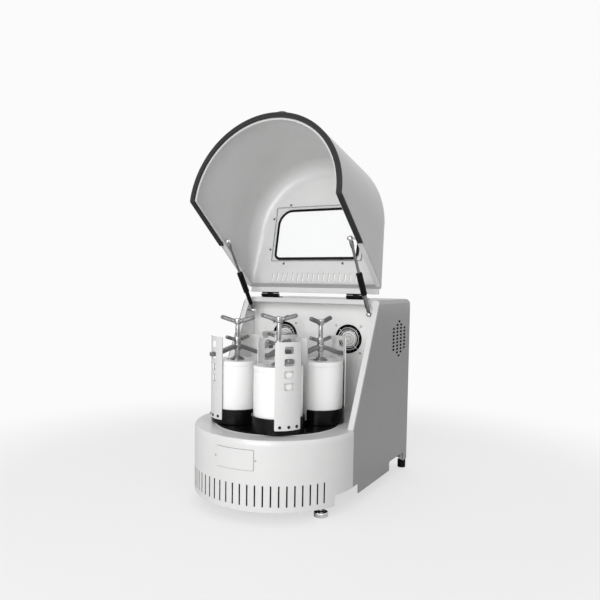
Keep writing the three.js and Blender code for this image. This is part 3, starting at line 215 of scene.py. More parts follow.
def plate(outline, holes, step, thick, place):
    # a sheet cut to an outline with holes: its flat pattern is filled with triangles over a grid of points
    # and its outlines, then laid in space by place(u, v, depth) at no depth and at its thickness
    loops = [spaced(line, step) for line in [outline] + holes]
    rim = np.vstack(loops)
    edges, first = [], 0
    for loop in loops:
        n = len(loop)
        edges += [(first + k, first + (k + 1) % n) for k in range(n)]
        first += n
    lo, hi = loops[0].min(0), loops[0].max(0)
    across, up = (np.arange(lo[k] + step / 2, hi[k], step) for k in (0, 1))
    g = np.stack(np.meshgrid(across, up), -1).reshape(-1, 2)
    g = g[onSheet(g, loops)]
    if len(g):    # grid points too near an outline go
        near = ((rim[None] - g[:, None]) ** 2).sum(-1).min(1)
        g = g[near > (0.45 * step) ** 2]
    flat = [Vector(q) for q in np.vstack([rim, g])]
    v, _, tri, *_ = delaunay_2d_cdt(flat, edges, [], 0, 1e-6)
    v, tri = np.array([tuple(q) for q in v]), np.array(list(tri))
    tri = tri[onSheet(v[tri].mean(1), loops)]
    n = len(v)
    pairs = np.vstack([tri[:, [0, 1]], tri[:, [1, 2]], tri[:, [2, 0]]])
    a, b = pairs[~np.isin(pairs @ [n, 1], pairs @ [1, n])].T    # edges that only one triangle has
    wall = np.stack([b, a, a + n, b + n], -1)
    faces = tri.tolist() + (tri[:, ::-1] + n).tolist() + wall.tolist()
    return np.vstack([place(v[:, 0], v[:, 1], 0.0), place(v[:, 0], v[:, 1], thick)]), faces

def level(z, way=-1):
    # lays a flat pattern level at height z, its thickness downwards or upwards
    return lambda u, v, depth: np.stack([u, v, np.full_like(u, z + way * depth)], -1)

def upright(y, way=1, flip=1):
    # stands a flat pattern across the machine at depth y, its thickness backwards or forwards
    return lambda u, v, depth: np.stack([flip * u, np.full_like(u, y + way * depth), v], -1)

def lined(sheet, lining, outside=0):
    # a sheet whose inner side has another finish than its outside and its cut edges
    v, f = sheet
    return v, f, [lining if min(q) >= len(v) // 2 else outside for q in f]

def paintedShadeEdges(part, number, near):
    # the cut edges of the small openings, where near(x, y, z) says so, are painted dark: painted shade inside the
    # openings
    v, f = part[:2]
    numbers = part[2] if len(part) > 2 else [0] * len(f)
    return v, f, [number if len(q) == 4 and near(*v[q].mean(0)) else k for q, k in zip(f, numbers)]

def makePiece(name, parts, rides, replaces, paints, place=None):
    # parts of (vertices, faces, number of the finish) joined into one object, in metres of the frame
    sharpFrom = 35    # degrees between two faces
    verts, faces, numbers, base = [], [], [], 0
    for part in parts:
        v, f = np.asarray(part[0], float), part[1]
        verts.append(place(v) if place else v)
        faces += [[int(k) + base for k in q] for q in f]
        number = part[2] if len(part) > 2 else 0
        numbers += number if isinstance(number, list) else [number] * len(f)
        base += len(v)
    verts = (np.vstack(verts) + np.array([0, body["offsetY"], 0])) / 1000
    mesh = bpy.data.meshes.new(name)
    mesh.from_pydata(verts.tolist(), [], faces)
    mesh.polygons.foreach_set("material_index", numbers)
    for paint in paints:
        mesh.materials.append(finishes[paint])
    piece = bpy.data.objects.new(name, mesh)
    bpy.context.collection.objects.link(piece)
    b = bmesh.new()
    b.from_mesh(mesh)
    bmesh.ops.remove_doubles(b, verts=b.verts, dist=2e-6)
    bmesh.ops.dissolve_degenerate(b, edges=b.edges, dist=1e-6)
    bmesh.ops.recalc_face_normals(b, faces=b.faces)
    b.to_mesh(mesh)
    b.free()
    mesh.polygons.foreach_set("use_smooth", [True] * len(mesh.polygons))
    mesh.set_sharp_from_angle(angle=math.radians(sharpFrom))
    mesh.update()
    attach(piece, rides)
    if replaces:
        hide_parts(*replaces)

def newMaterial(name):
    # a material, its node tree and its shader
    m = bpy.data.materials.new(name)
    m.use_nodes = True
    return m, m.node_tree, m.node_tree.nodes["Principled BSDF"]

def fill(node, values):
    # sets a node's sockets by name or number
    for key, value in values.items():
        node.inputs[key].default_value = value

def addNode(tree, kind, values={}, links={}, **settings):
    # a node with its settings, the values of its sockets and the sockets that feed it
    node = tree.nodes.new("ShaderNode" + kind)
    for key, value in settings.items():
        setattr(node, key, value)
    fill(node, values)
    for key, source in links.items():
        tree.links.new(source, node.inputs[key])
    return node

def noise(tree, vector, scale, detail, rough=0.55):
    # soft noise of one scale over a vector
    values = {"Scale": scale, "Detail": detail, "Roughness": rough}
    return addNode(tree, "TexNoise", values, {"Vector": vector}).outputs["Fac"]

def spread(tree, value, low, high, fromLow=0.3, fromHigh=0.7):
    # a straight line that takes fromLow to low and fromHigh to high, level beyond them
    ends = {"From Min": fromLow, "From Max": fromHigh, "To Min": low, "To Max": high}
    return addNode(tree, "MapRange", ends, {"Value": value}).outputs["Result"]

def finish(name, look):
    # one finish: patchy colour, uneven gloss, a fine bump and edges that catch the light
    usual = dict(metallic=0, specular=0.5, coat=0, coatRoughness=0.1, patch=0.04, patchScale=14, glossSpread=0.15,
                 bumpDepth=0.0003, edgeRadius=0.0007)
    look = {**usual, **look}
    m, tree, shader = newMaterial(name)
    fill(shader, {"Metallic": look["metallic"], "Specular IOR Level": look["specular"],
                  "Coat Weight": look["coat"], "Coat Roughness": look["coatRoughness"]})
    vector = grain = addNode(tree, "TexCoord").outputs["Object"]
    if "stretch" in look:    # brushed metal: the pattern is drawn out along one direction
        grain = addNode(tree, "Mapping", {"Scale": look["stretch"]}, {"Vector": vector}).outputs["Vector"]
    color, patch = np.array(look["color"]), look["patch"]
    darker, lighter = ((*np.clip(color * share, 0, 1), 1) for share in (1 - patch, 1 + patch))
    patches = spread(tree, noise(tree, vector, look["patchScale"], 5), 0, 1)
    mix = addNode(tree, "Mix", {"A": darker, "B": lighter}, {"Factor": patches}, data_type="RGBA")
    tree.links.new(mix.outputs["Result"], shader.inputs["Base Color"])
    fine, rough, wider = noise(tree, grain, look["grainScale"], 3), look["roughness"], look["glossSpread"]
    tree.links.new(spread(tree, fine, rough * (1 - wider), rough * (1 + wider)), shader.inputs["Roughness"])
    edge = addNode(tree, "Bevel", {"Radius": look["edgeRadius"]}, samples=4)
    bump = addNode(tree, "Bump", {"Strength": look["bump"], "Distance": look["bumpDepth"]},
                   {"Height": fine, "Normal": edge.outputs["Normal"]})
    tree.links.new(bump.outputs["Normal"], shader.inputs["Normal"])
    return m

def clearPane():
    # clear sheet: mostly lets light straight through, with a faint uneven reflection
    m, tree, shader = newMaterial("clearPane")
    smear = noise(tree, addNode(tree, "TexCoord").outputs["Object"], 9, 5)
    tree.links.new(spread(tree, smear, 0.03, 0.10), shader.inputs["Roughness"])
    fill(shader, {"Base Color": (0.95, 0.97, 0.97, 1), "Alpha": 0.14, "IOR": 1.49})
    return m

def grey(level, blue=0.0):
    # a grey, a little bluer where blue is above 0 and warmer where below
    return (level, level, level + blue)

looks = dict(
    bodyPaint=dict(color=grey(0.68, -0.004), roughness=0.34, patch=0.015, grainScale=520, bump=0.10, coat=0.15),
    # the hood's inside: a lighter copy of the hood paint, as painted light for the bounce from the deck and jars
    hoodLiningPaintedLight=dict(color=grey(0.66, -0.003), roughness=0.30, patch=0.02, grainScale=520, bump=0.10, coat=0.2),
    wallPaint=dict(color=grey(0.86, -0.005), roughness=0.4, patch=0.015, grainScale=520, bump=0.08),
    sidePaint=dict(color=grey(0.29, -0.001), roughness=0.32, patch=0.02, grainScale=520, bump=0.10, coat=0.15),
    hoodPaint=dict(color=grey(0.45, -0.002), roughness=0.30, patch=0.02, grainScale=520, bump=0.10, coat=0.2),
    fencePaint=dict(color=grey(0.66, -0.005), roughness=0.36, patch=0.02, grainScale=500, bump=0.08, coat=0.1),
    blackCoat=dict(color=grey(0.004, 0.0005), roughness=0.18, patch=0.2, grainScale=600, bump=0.06, specular=0.13),
    blackPlastic=dict(color=grey(0.004, 0.0005), roughness=0.42, patch=0.15, grainScale=900, bump=0.15, specular=0.12),
    fanBlack=dict(color=grey(0.003, 0.0005), roughness=0.8, patch=0.15, grainScale=900, bump=0.1, specular=0.03),
    guardWire=dict(color=grey(0.85), roughness=0.4, metallic=0.3, grainScale=500, bump=0.02),
    hubPlastic=dict(color=grey(0.80, -0.01), roughness=0.4, patch=0.03, grainScale=900, bump=0.1),
    rubber=dict(color=grey(0.020, 0.001), roughness=0.62, patch=0.2, grainScale=1200, bump=0.25, specular=0.3),
    paneEdge=dict(color=grey(0.12), roughness=0.4, grainScale=700, bump=0.02),
    brightSteel=dict(color=grey(0.66, 0.01), roughness=0.24, metallic=1.0, patch=0.05, grainScale=420,
                     stretch=(1, 1, 12), bump=0.05),
    castSteel=dict(color=grey(0.48, 0.01), roughness=0.36, metallic=0.9, patch=0.10, grainScale=800, bump=0.3),
    wingSteel=dict(color=grey(0.185, 0.003), roughness=0.34, metallic=0.55, patch=0.12, grainScale=800, bump=0.25),
    screwSteel=dict(color=grey(0.42, 0.008), roughness=0.24, metallic=1.0, grainScale=420,
                    stretch=(12, 12, 1), bump=0.01),
    rodSteel=dict(color=grey(0.30, 0.005), roughness=0.26, metallic=1.0, patch=0.05, grainScale=420, bump=0.02),
    chrome=dict(color=grey(0.8, 0.01), roughness=0.10, metallic=1.0, patch=0.02, grainScale=300, bump=0.02),
    screwBlack=dict(color=grey(0.02, 0.001), roughness=0.35, metallic=0.4, patch=0.2, grainScale=900, bump=0.1),
    ceramic=dict(color=grey(0.88, -0.004), roughness=0.30, patch=0.012, grainScale=260, bump=0.04, coat=0.3),
    castGrey=dict(color=(0.09, 0.095, 0.10), roughness=0.5, metallic=0.3, patch=0.15, grainScale=600, bump=0.4),
    zinc=dict(color=grey(0.6), roughness=0.42, metallic=0.85, patch=0.12, patchScale=60, grainScale=500, bump=0.1),
)
finishes = {name: finish(name, look) for name, look in looks.items()}
finishes["clearPane"] = clearPane()
print("finishes made:", len(finishes))

def addCamera():
    # the photograph's viewing angle, from the fit of the main outlines: back points from the object to the
    # camera, up is square to back and right, and both turn by the roll
    view = dict(place=(0.88869, -1.62835, 0.60358), azimuth=28.26, elevation=3.65, roll=0.87,
                lens=37.28, sensor=36, shift=(-0.0022, 0.0394), farEnd=100)
    az, el, roll = (math.radians(view[k]) for k in ("azimuth", "elevation", "roll"))
    back = np.array([math.sin(az) * math.cos(el), -math.cos(az) * math.cos(el), math.sin(el)])
    right = np.array([math.cos(az), math.sin(az), 0])
    up = np.cross(back, right)
    right, up = math.cos(roll) * right + math.sin(roll) * up, math.cos(roll) * up - math.sin(roll) * right
    camera = bpy.data.objects.new("camera", bpy.data.cameras.new("camera"))
    bpy.context.collection.objects.link(camera)
    m = np.eye(4)
    m[:3] = np.column_stack([right, up, back, view["place"]])
    camera.matrix_world = Matrix(m.tolist())
    camera.data.sensor_width, camera.data.lens, camera.data.clip_end = view["sensor"], view["lens"], view["farEnd"]
    camera.data.shift_x, camera.data.shift_y = view["shift"]
    bpy.context.scene.camera = camera

def addLight(name, place, target, size, power):
    # a soft rectangular lamp that looks at its target
    lamp = bpy.data.objects.new(name, bpy.data.lights.new(name, "AREA"))
    bpy.context.collection.objects.link(lamp)
    lamp.data.shape = "RECTANGLE"
    lamp.data.size, lamp.data.size_y = size
    lamp.data.energy = power
    lamp.location = place
    lamp.rotation_euler = (Vector(target) - Vector(place)).to_track_quat("-Z", "Y").to_euler()

def addStudio():
    # a plain world and floor that the camera, mirrors and glass see nearly white, and three soft lamps
    studio = dict(skyStrength=0.46, shown=0.965, shadowShare=0.34, poolFrom=0.75, poolTo=1.6,
                  floorHalf=14.0, floorZ=-0.0005, floorGrey=0.8, floorRoughness=0.6,
                  lamps=[("keyLight", (0.35, -3.4, 1.3), (0, 0, 0.45), (2.0, 1.8), 74),
                         ("fillLight", (2.9, -0.6, 1.6), (0, 0, 0.4), (1.6, 1.6), 7),
                         ("topLight", (0.0, 0.4, 3.4), (0, 0, 0.5), (2.2, 2.2), 9)])
    white = grey(studio["shown"]) + (1,)
    world = bpy.data.worlds.new("studio")
    bpy.context.scene.world = world
    world.use_nodes = True
    tree = world.node_tree
    sky, seen = tree.nodes["Background"], addNode(tree, "Background", {"Color": white})
    fill(sky, {"Strength": studio["skyStrength"], "Color": (1, 1, 1, 1)})
    path = addNode(tree, "LightPath").outputs
    either = path["Is Camera Ray"]
    for other in ("Is Transmission Ray", "Is Glossy Ray"):
        either = addNode(tree, "Math", links={0: either, 1: path[other]}, operation="MAXIMUM").outputs[0]
    mix = addNode(tree, "MixShader", links={"Fac": either, 1: sky.outputs[0], 2: seen.outputs[0]})
    tree.links.new(mix.outputs[0], tree.nodes["World Output"].inputs["Surface"])
    s, z = studio["floorHalf"], studio["floorZ"]
    mesh = bpy.data.meshes.new("floor")
    mesh.from_pydata([(-s, -s, z), (s, -s, z), (s, s, z), (-s, s, z)], [], [(0, 1, 2, 3)])
    floor = bpy.data.objects.new("floor", mesh)
    bpy.context.collection.objects.link(floor)
    m, tree, shader = newMaterial("paleFloor")
    fill(shader, {"Base Color": grey(studio["floorGrey"]) + (1,), "Roughness": studio["floorRoughness"]})
    glow = addNode(tree, "Emission", {"Color": white})
    # the camera sees the lit floor only near the object; further out it fades into the background
    far = addNode(tree, "VectorMath", links={0: addNode(tree, "TexCoord").outputs["Object"]}, operation="LENGTH")
    ends = {"From Min": studio["poolFrom"], "From Max": studio["poolTo"],
            "To Min": 1 - studio["shadowShare"], "To Max": 1}
    pool = addNode(tree, "MapRange", ends, {"Value": far.outputs["Value"]}, interpolation_type="SMOOTHSTEP")
    byCamera = addNode(tree, "LightPath").outputs["Is Camera Ray"]
    seenShare = addNode(tree, "Math", links={0: byCamera, 1: pool.outputs["Result"]}, operation="MULTIPLY")
    mix = addNode(tree, "MixShader", links={"Fac": seenShare.outputs[0], 1: shader.outputs[0], 2: glow.outputs[0]})
    tree.links.new(mix.outputs[0], tree.nodes["Material Output"].inputs["Surface"])
    mesh.materials.append(m)
    for lamp in studio["lamps"]:
        addLight(*lamp)
    bpy.context.scene.view_settings.view_transform = "Standard"

addCamera()
addStudio()
print("camera and studio set")

def screwHead(radius, height, material, hole):
    # a domed head with a round recess and a flat black six-sided disc low in it as painted shade in the socket, its
    # underside at height 0
    head = [(0.42 * radius, height * 0.35), (0.42 * radius, height), (radius * 0.8, height), (radius, height * 0.55),
            (radius, -0.3), (0, -0.3)]
    dome = softLathe(head, [0, 0.1, radius * 0.12, radius * 0.1, 0, 0], 20, 3)
    # the flat black six-sided disc low in the recess is painted shade in the socket
    return [dome + (material,), lathe([(0, height * 0.36), (0.45 * radius, height * 0.36)], 6) + (hole,)]

def headAt(x, y, z, direction, radius, height, material=1, hole=2):
    # a screw head whose top points along direction
    q = Vector((0, 0, 1)).rotation_difference(Vector(direction)).to_matrix().to_4x4()
    return [moved(p, Matrix.Translation((x, y, z)) @ q) for p in screwHead(radius, height, material, hole)]

def dPath(u, radius):
    # along a half-round front and straight sides: u = 0 at the front's middle, positive to the right
    a = np.clip(u / radius, -math.pi / 2, math.pi / 2)
    extra = np.maximum(np.abs(u) - math.pi / 2 * radius, 0)
    nx, ny = np.sin(a), -np.cos(a)
    return radius * nx, radius * ny + extra, nx, ny

def addDrum():
    # the half-round wall with its slots and notches, the level deck with its round opening and a raised lip round it
    drum = dict(slotStep=5, slotTurn=1.25, slotCount=25, slotWidth=4, slotLow=42, slotHigh=97,
                shadeSheetHalfAngle=67, shadeSheetLow=8, shadeSheetHigh=76, shadeSheetBehind=3.2, shadeSheetThick=0.6,
                notchHeight=28, notchAngle=20, notchCorner=5, rimRadius=3.5,
                holeRadius=175.5, lipRadius=178.5, lipRise=0.8)
    r, low, top, soft = body["radius"], body["footHeight"], body["deckZ"], drum["rimRadius"]
    rise = top - low - soft
    def onWall(u, v, depth):
        # v climbs the wall and then turns over the rim on a quarter arc
        x, y, nx, ny = dPath(u, r)
        a = np.clip((v - rise) / soft, 0, math.pi / 2)
        z = low + np.minimum(v, rise) + soft * np.sin(a) - depth * np.sin(a)
        inset = soft * (1 - np.cos(a)) + depth * np.cos(a) + np.maximum(v - rise - soft * math.pi / 2, 0)
        return np.stack([x - nx * inset, y - ny * inset, z], -1)
    end = math.pi / 2 * r + body["seamY"] - 0.3
    notch = r * math.radians(90 - drum["notchAngle"])
    high = rise + soft * math.pi / 2 + 1.0
    n, c = drum["notchHeight"], drum["notchCorner"]
    arc = np.linspace(0, 90, 6)
    rightNotch = np.stack([notch + c - c * cosd(arc), n - c + c * sind(arc)], -1)
    outline = np.vstack([[[notch, 0]], rightNotch, [[end, n], [end, high], [-end, high], [-end, n]],
                         rightNotch[::-1] * [-1, 1], [[-notch, 0]]])
    slots, w = [], drum["slotWidth"] / 2
    for k in range(drum["slotCount"]):
        u = r * math.radians((k - (drum["slotCount"] - 1) / 2) * drum["slotStep"] + drum["slotTurn"])
        slots.append(roundedRectangle(u - w, u + w, drum["slotLow"] - low, drum["slotHigh"] - low, w, 5))
    # the slots' cut edges are painted dark, as painted shade inside them
    wall = paintedShadeEdges(plate(outline, slots, 9, body["sheet"], onWall), 1,
                     lambda x, y, z: y < 0 and drum["slotLow"] - 1 < z < drum["slotHigh"] + 1)
    # a dark sheet behind the slots: painted shade seen through them
    reach = r * math.radians(drum["shadeSheetHalfAngle"])
    mesh = plate(roundedRectangle(-reach, reach, drum["shadeSheetLow"], drum["shadeSheetHigh"], 2, 3), [], 14, drum["shadeSheetThick"],
                 lambda u, v, depth: onWall(u, v, depth + drum["shadeSheetBehind"]))
    inner, rear = r - soft - 0.9, body["backWallY"] - 0.3
    deckLine = np.vstack([arcLine(inner, 180, 360, 73), [[inner, rear], [-inner, rear]]])
    hole, edge, lipTop = drum["holeRadius"], drum["lipRadius"], top + drum["lipRise"]
    deck = plate(deckLine, [circle(hole, count=120)], 14, body["sheet"], level(top))
    lip = softLathe([(hole, top - 2.8), (hole, lipTop), (edge, lipTop), (edge, top - 0.5)], 0.5, 120)
    makePiece("drum", [wall, deck, lip, mesh + (1,)], "frame", ["drum_shell"], ["bodyPaint", "blackPlastic"])

def addDrumCover():
    # bare cover plate on the drum's front, a black sheet behind its edge as painted shadow in the gap round it, and its
    # two screws
    cover = dict(halfAngle=13.4, low=133.5, high=185.7, proud=0.9, screwAngle=14.6, turn=2.0, gap=0.8, shadowSheetDepth=0.7)
    r, g, low, high = body["radius"], cover["gap"], cover["low"], cover["high"]
    half = r * math.radians(cover["halfAngle"])
    def onFront(u, v, depth):
        # round the drum by u, at height v, and out from its wall
        x, y, nx, ny = dPath(u + r * math.radians(cover["turn"]), r)
        out = cover["proud"] - depth
        return np.stack([x + nx * out, y + ny * out, v], -1)
    sheet = plate(roundedRectangle(-half, half, low, high, 1.5, 3), [], 8, cover["proud"] - 0.05, onFront)
    # a black sheet a little larger than the cover, set behind it: painted shadow in the gap
    shade = plate(roundedRectangle(-half - g, half + g, low - g, high + g, 2, 3), [], 8, 0.15,
                  lambda u, v, depth: onFront(u, v, depth + cover["shadowSheetDepth"]))
    parts = [sheet, shade + (2,)]
    for side in (-1, 1):
        angle = side * cover["screwAngle"] + cover["turn"] - 90
        m = spin(angle) @ Matrix.Translation((r, 0, (low + high) / 2)) @ spin(90, "Y")
        parts += [moved(p, m) for p in screwHead(3.0, 1.6, 1, 2)]
    makePiece("drumCover", parts, "frame", (), ["bodyPaint", "brightSteel", "screwBlack"])

addDrum()
addDrumCover()
print("drum made")

# the slanted front edge of the casing: height climbed for each millimetre back, and the normal of its plane
slopeRise = (body["topZ"] - body["deckZ"]) / (body["slopeTopY"] - body["seamY"])
slopeNormal = np.array([0, slopeRise, -1]) / math.hypot(slopeRise, 1)

def slopeY(z):
    # how far back the slanted edge stands at height z
    return body["seamY"] + (z - body["deckZ"]) / slopeRise

def ballStud(side, y, z, headFrom):
    # the stud that carries a strut's ball joint, its head inside the wall on this side
    stud = dict(tip=207.8, radius=3, head=8, headTo=232.5)
    line = [(0, stud["tip"]), (stud["radius"], stud["tip"]), (stud["radius"], headFrom),
            (stud["head"], headFrom), (stud["head"], stud["headTo"]), (0, stud["headTo"])]
    part = softLathe(line, 0.6, 24, axis="x", y=y, z=z)
    return (mirrored(part) if side < 0 else part) + (1,)

def addCasing():
    # one sheet wrapped over both sides and the top, closed by the slanted border in front and the rim at the rear
    casing = dict(border=19, borderTop=14, borderCorner=15, notchHeight=28, notchCorner=4, frontNotchY=44,
                  rearNotch=(286, 417), rearRim=19, grilleY=348, grilleZ=437, grilleRows=10.8, grilleColumns=33,
                  grilleSlot=(18, 6.4), grilleRadius=64, stud=(177, 517, 226), screwX=190, screwZ=(40, 300, 548))
    half, soft, low, top, t = body["radius"], body["edgeRadius"], body["footHeight"], body["topZ"], body["sheet"]
    sideRun, arcRun, topHalf = top - soft - low, soft * math.pi / 2, half - soft
    total = sideRun + arcRun + topHalf    # from the middle of the top down to a lower edge
    def onWrap(u, v, depth):
        # u runs from the right lower edge (-total) over the top (0) to the left lower edge (total),
        # v is the distance back
        s = np.abs(u)
        a = np.clip((s - topHalf) / soft, 0, math.pi / 2)
        x = np.minimum(s, topHalf) + soft * np.sin(a) - depth * np.sin(a)
        z = top - soft * (1 - np.cos(a)) - depth * np.cos(a) - np.maximum(s - topHalf - arcRun, 0)
        return np.stack([-np.sign(u) * x, v, z], -1)
    runs = np.concatenate([np.linspace(0, topHalf, 12), topHalf + np.linspace(0, arcRun, 8)[1:],
                           topHalf + arcRun + np.linspace(0, top - soft - body["deckZ"], 20)[1:]])
    frontEdge = np.stack([runs, slopeY(onWrap(runs, runs, 0)[:, 2])], -1)
    high, c, rear = total - casing["notchHeight"], casing["notchCorner"], body["rearY"]
    y0, (y1, y2) = casing["frontNotchY"], casing["rearNotch"]
    sideEnd = [[high, body["seamY"]], [high, y0 - c], [high + c, y0], [total, y0], [total, y1], [high + c, y1],
               [high, y1 + c], [high, y2 - c], [high + c, y2], [total, y2], [total, rear]]
    right = np.vstack([frontEdge, sideEnd])
    outline = np.vstack([right, (right * [-1, 1])[::-1][:-1]])
    # eleven rows of short slots, four across the middle and fewer at the ends
    holes, centreU = [], -(topHalf + arcRun + (top - soft - casing["grilleZ"]))
    long, wide = casing["grilleSlot"]
    for j in range(-5, 6):
        for i in {5: [0], 4: [-0.5, 0.5]}.get(abs(j), [-1.5, -0.5, 0.5, 1.5]):
            u, y = centreU + j * casing["grilleRows"], casing["grilleY"] + i * casing["grilleColumns"]
            holes.append(roundedRectangle(u - wide / 2, u + wide / 2, y - long / 2, y + long / 2, wide / 2, 5))
    def byGrille(x, y, z):
        # whether a point of the right wall is in the round field of slots
        return x > 0 and math.hypot(y - casing["grilleY"], z - casing["grilleZ"]) < casing["grilleRadius"] + 3
    # the grille slots' cut edges are painted dark, as painted shade inside them
    wrap = paintedShadeEdges(lined(plate(outline, holes, 16, t, onWrap), 0, 3), 4, byGrille)
    # a dark sheet behind the side grille: painted shade seen through its slots
    grilleShadeSheet = plate(circle(casing["grilleRadius"] + 5, centreU, casing["grilleY"], 48), [], 14, 0.6,
                lambda u, v, depth: onWrap(u, v, depth + t + 0.2))
    # slanted border: a flat band turned inwards from the front edges
    slant = math.hypot(1, slopeRise) / slopeRise    # length along the slope for each millimetre of height
    def onSlope(u, v, depth):
        # u across, v along the slope from the deck up, its thickness inwards
        z = body["deckZ"] + 0.3 + v / slant
        return np.stack([u, slopeY(z), z], -1) + (0.15 + depth) * slopeNormal
    length = (top - body["deckZ"] - 0.3) * slant
    outer = roundedRectangle(-half + 0.6, half - 0.6, 0, length - 0.6, [0, 0, soft, soft], 8)
    edge, corner = half - casing["border"], casing["borderCorner"]
    inside = roundedRectangle(-edge, edge, -0.01, length - casing["borderTop"] * slant, [0, 0, corner, corner], 8)
    border = plate(np.vstack([outer[1:], outer[:1], inside[:1], inside[:0:-1]]), [], 14, t, onSlope)
    # rear rim, turned inwards round the rear panel
    m = casing["rearRim"] + t
    rearLine = roundedRectangle(-half + 0.5, half - 0.5, low + 0.3, top - 0.5, [2, 2, soft, soft], 8)
    opening = roundedRectangle(-half + m, half - m, low + m, top - m, 16, 8)
    back = plate(rearLine, [opening], 20, t - 0.4, upright(rear - 0.2, -1, -1))
    parts = [wrap, border + (5,), back + (3,), grilleShadeSheet + (4,)]
    parts += [ballStud(side, *casing["stud"]) for side in (-1, 1)]
    for x in (-casing["screwX"], casing["screwX"]):
        for z in casing["screwZ"]:
            parts += headAt(x, rear + 0.1, z, (0, 1, 0), 3.2, 1.9)
    makePiece("casingBody", parts, "frame", ["casing"],
              ["wallPaint", "brightSteel", "screwBlack", "sidePaint", "blackPlastic", "bodyPaint"])

addCasing()
print("casing made")

# the hood is worked out in its closed place and then turned open about this line
hinge = dict(y=198, z=567, openDegrees=101.9, leafX=150, leafWidth=64, leafDepth=26, knuckle=5, knuckleBore=2.2,
             pin=2.0, thick=2.4, hoodLeafZ=563.8, screwX=(-17, 0, 17))

def toOpenHood(v):
    # from the closed hood's place to the open one: a turn about the hinge line
    a = -math.radians(hinge["openDegrees"])
    y, z = v[:, 1] - hinge["y"], v[:, 2] - hinge["z"]
    return np.stack([v[:, 0], hinge["y"] + y * math.cos(a) - z * math.sin(a),
                     hinge["z"] + y * math.sin(a) + z * math.cos(a)], -1)

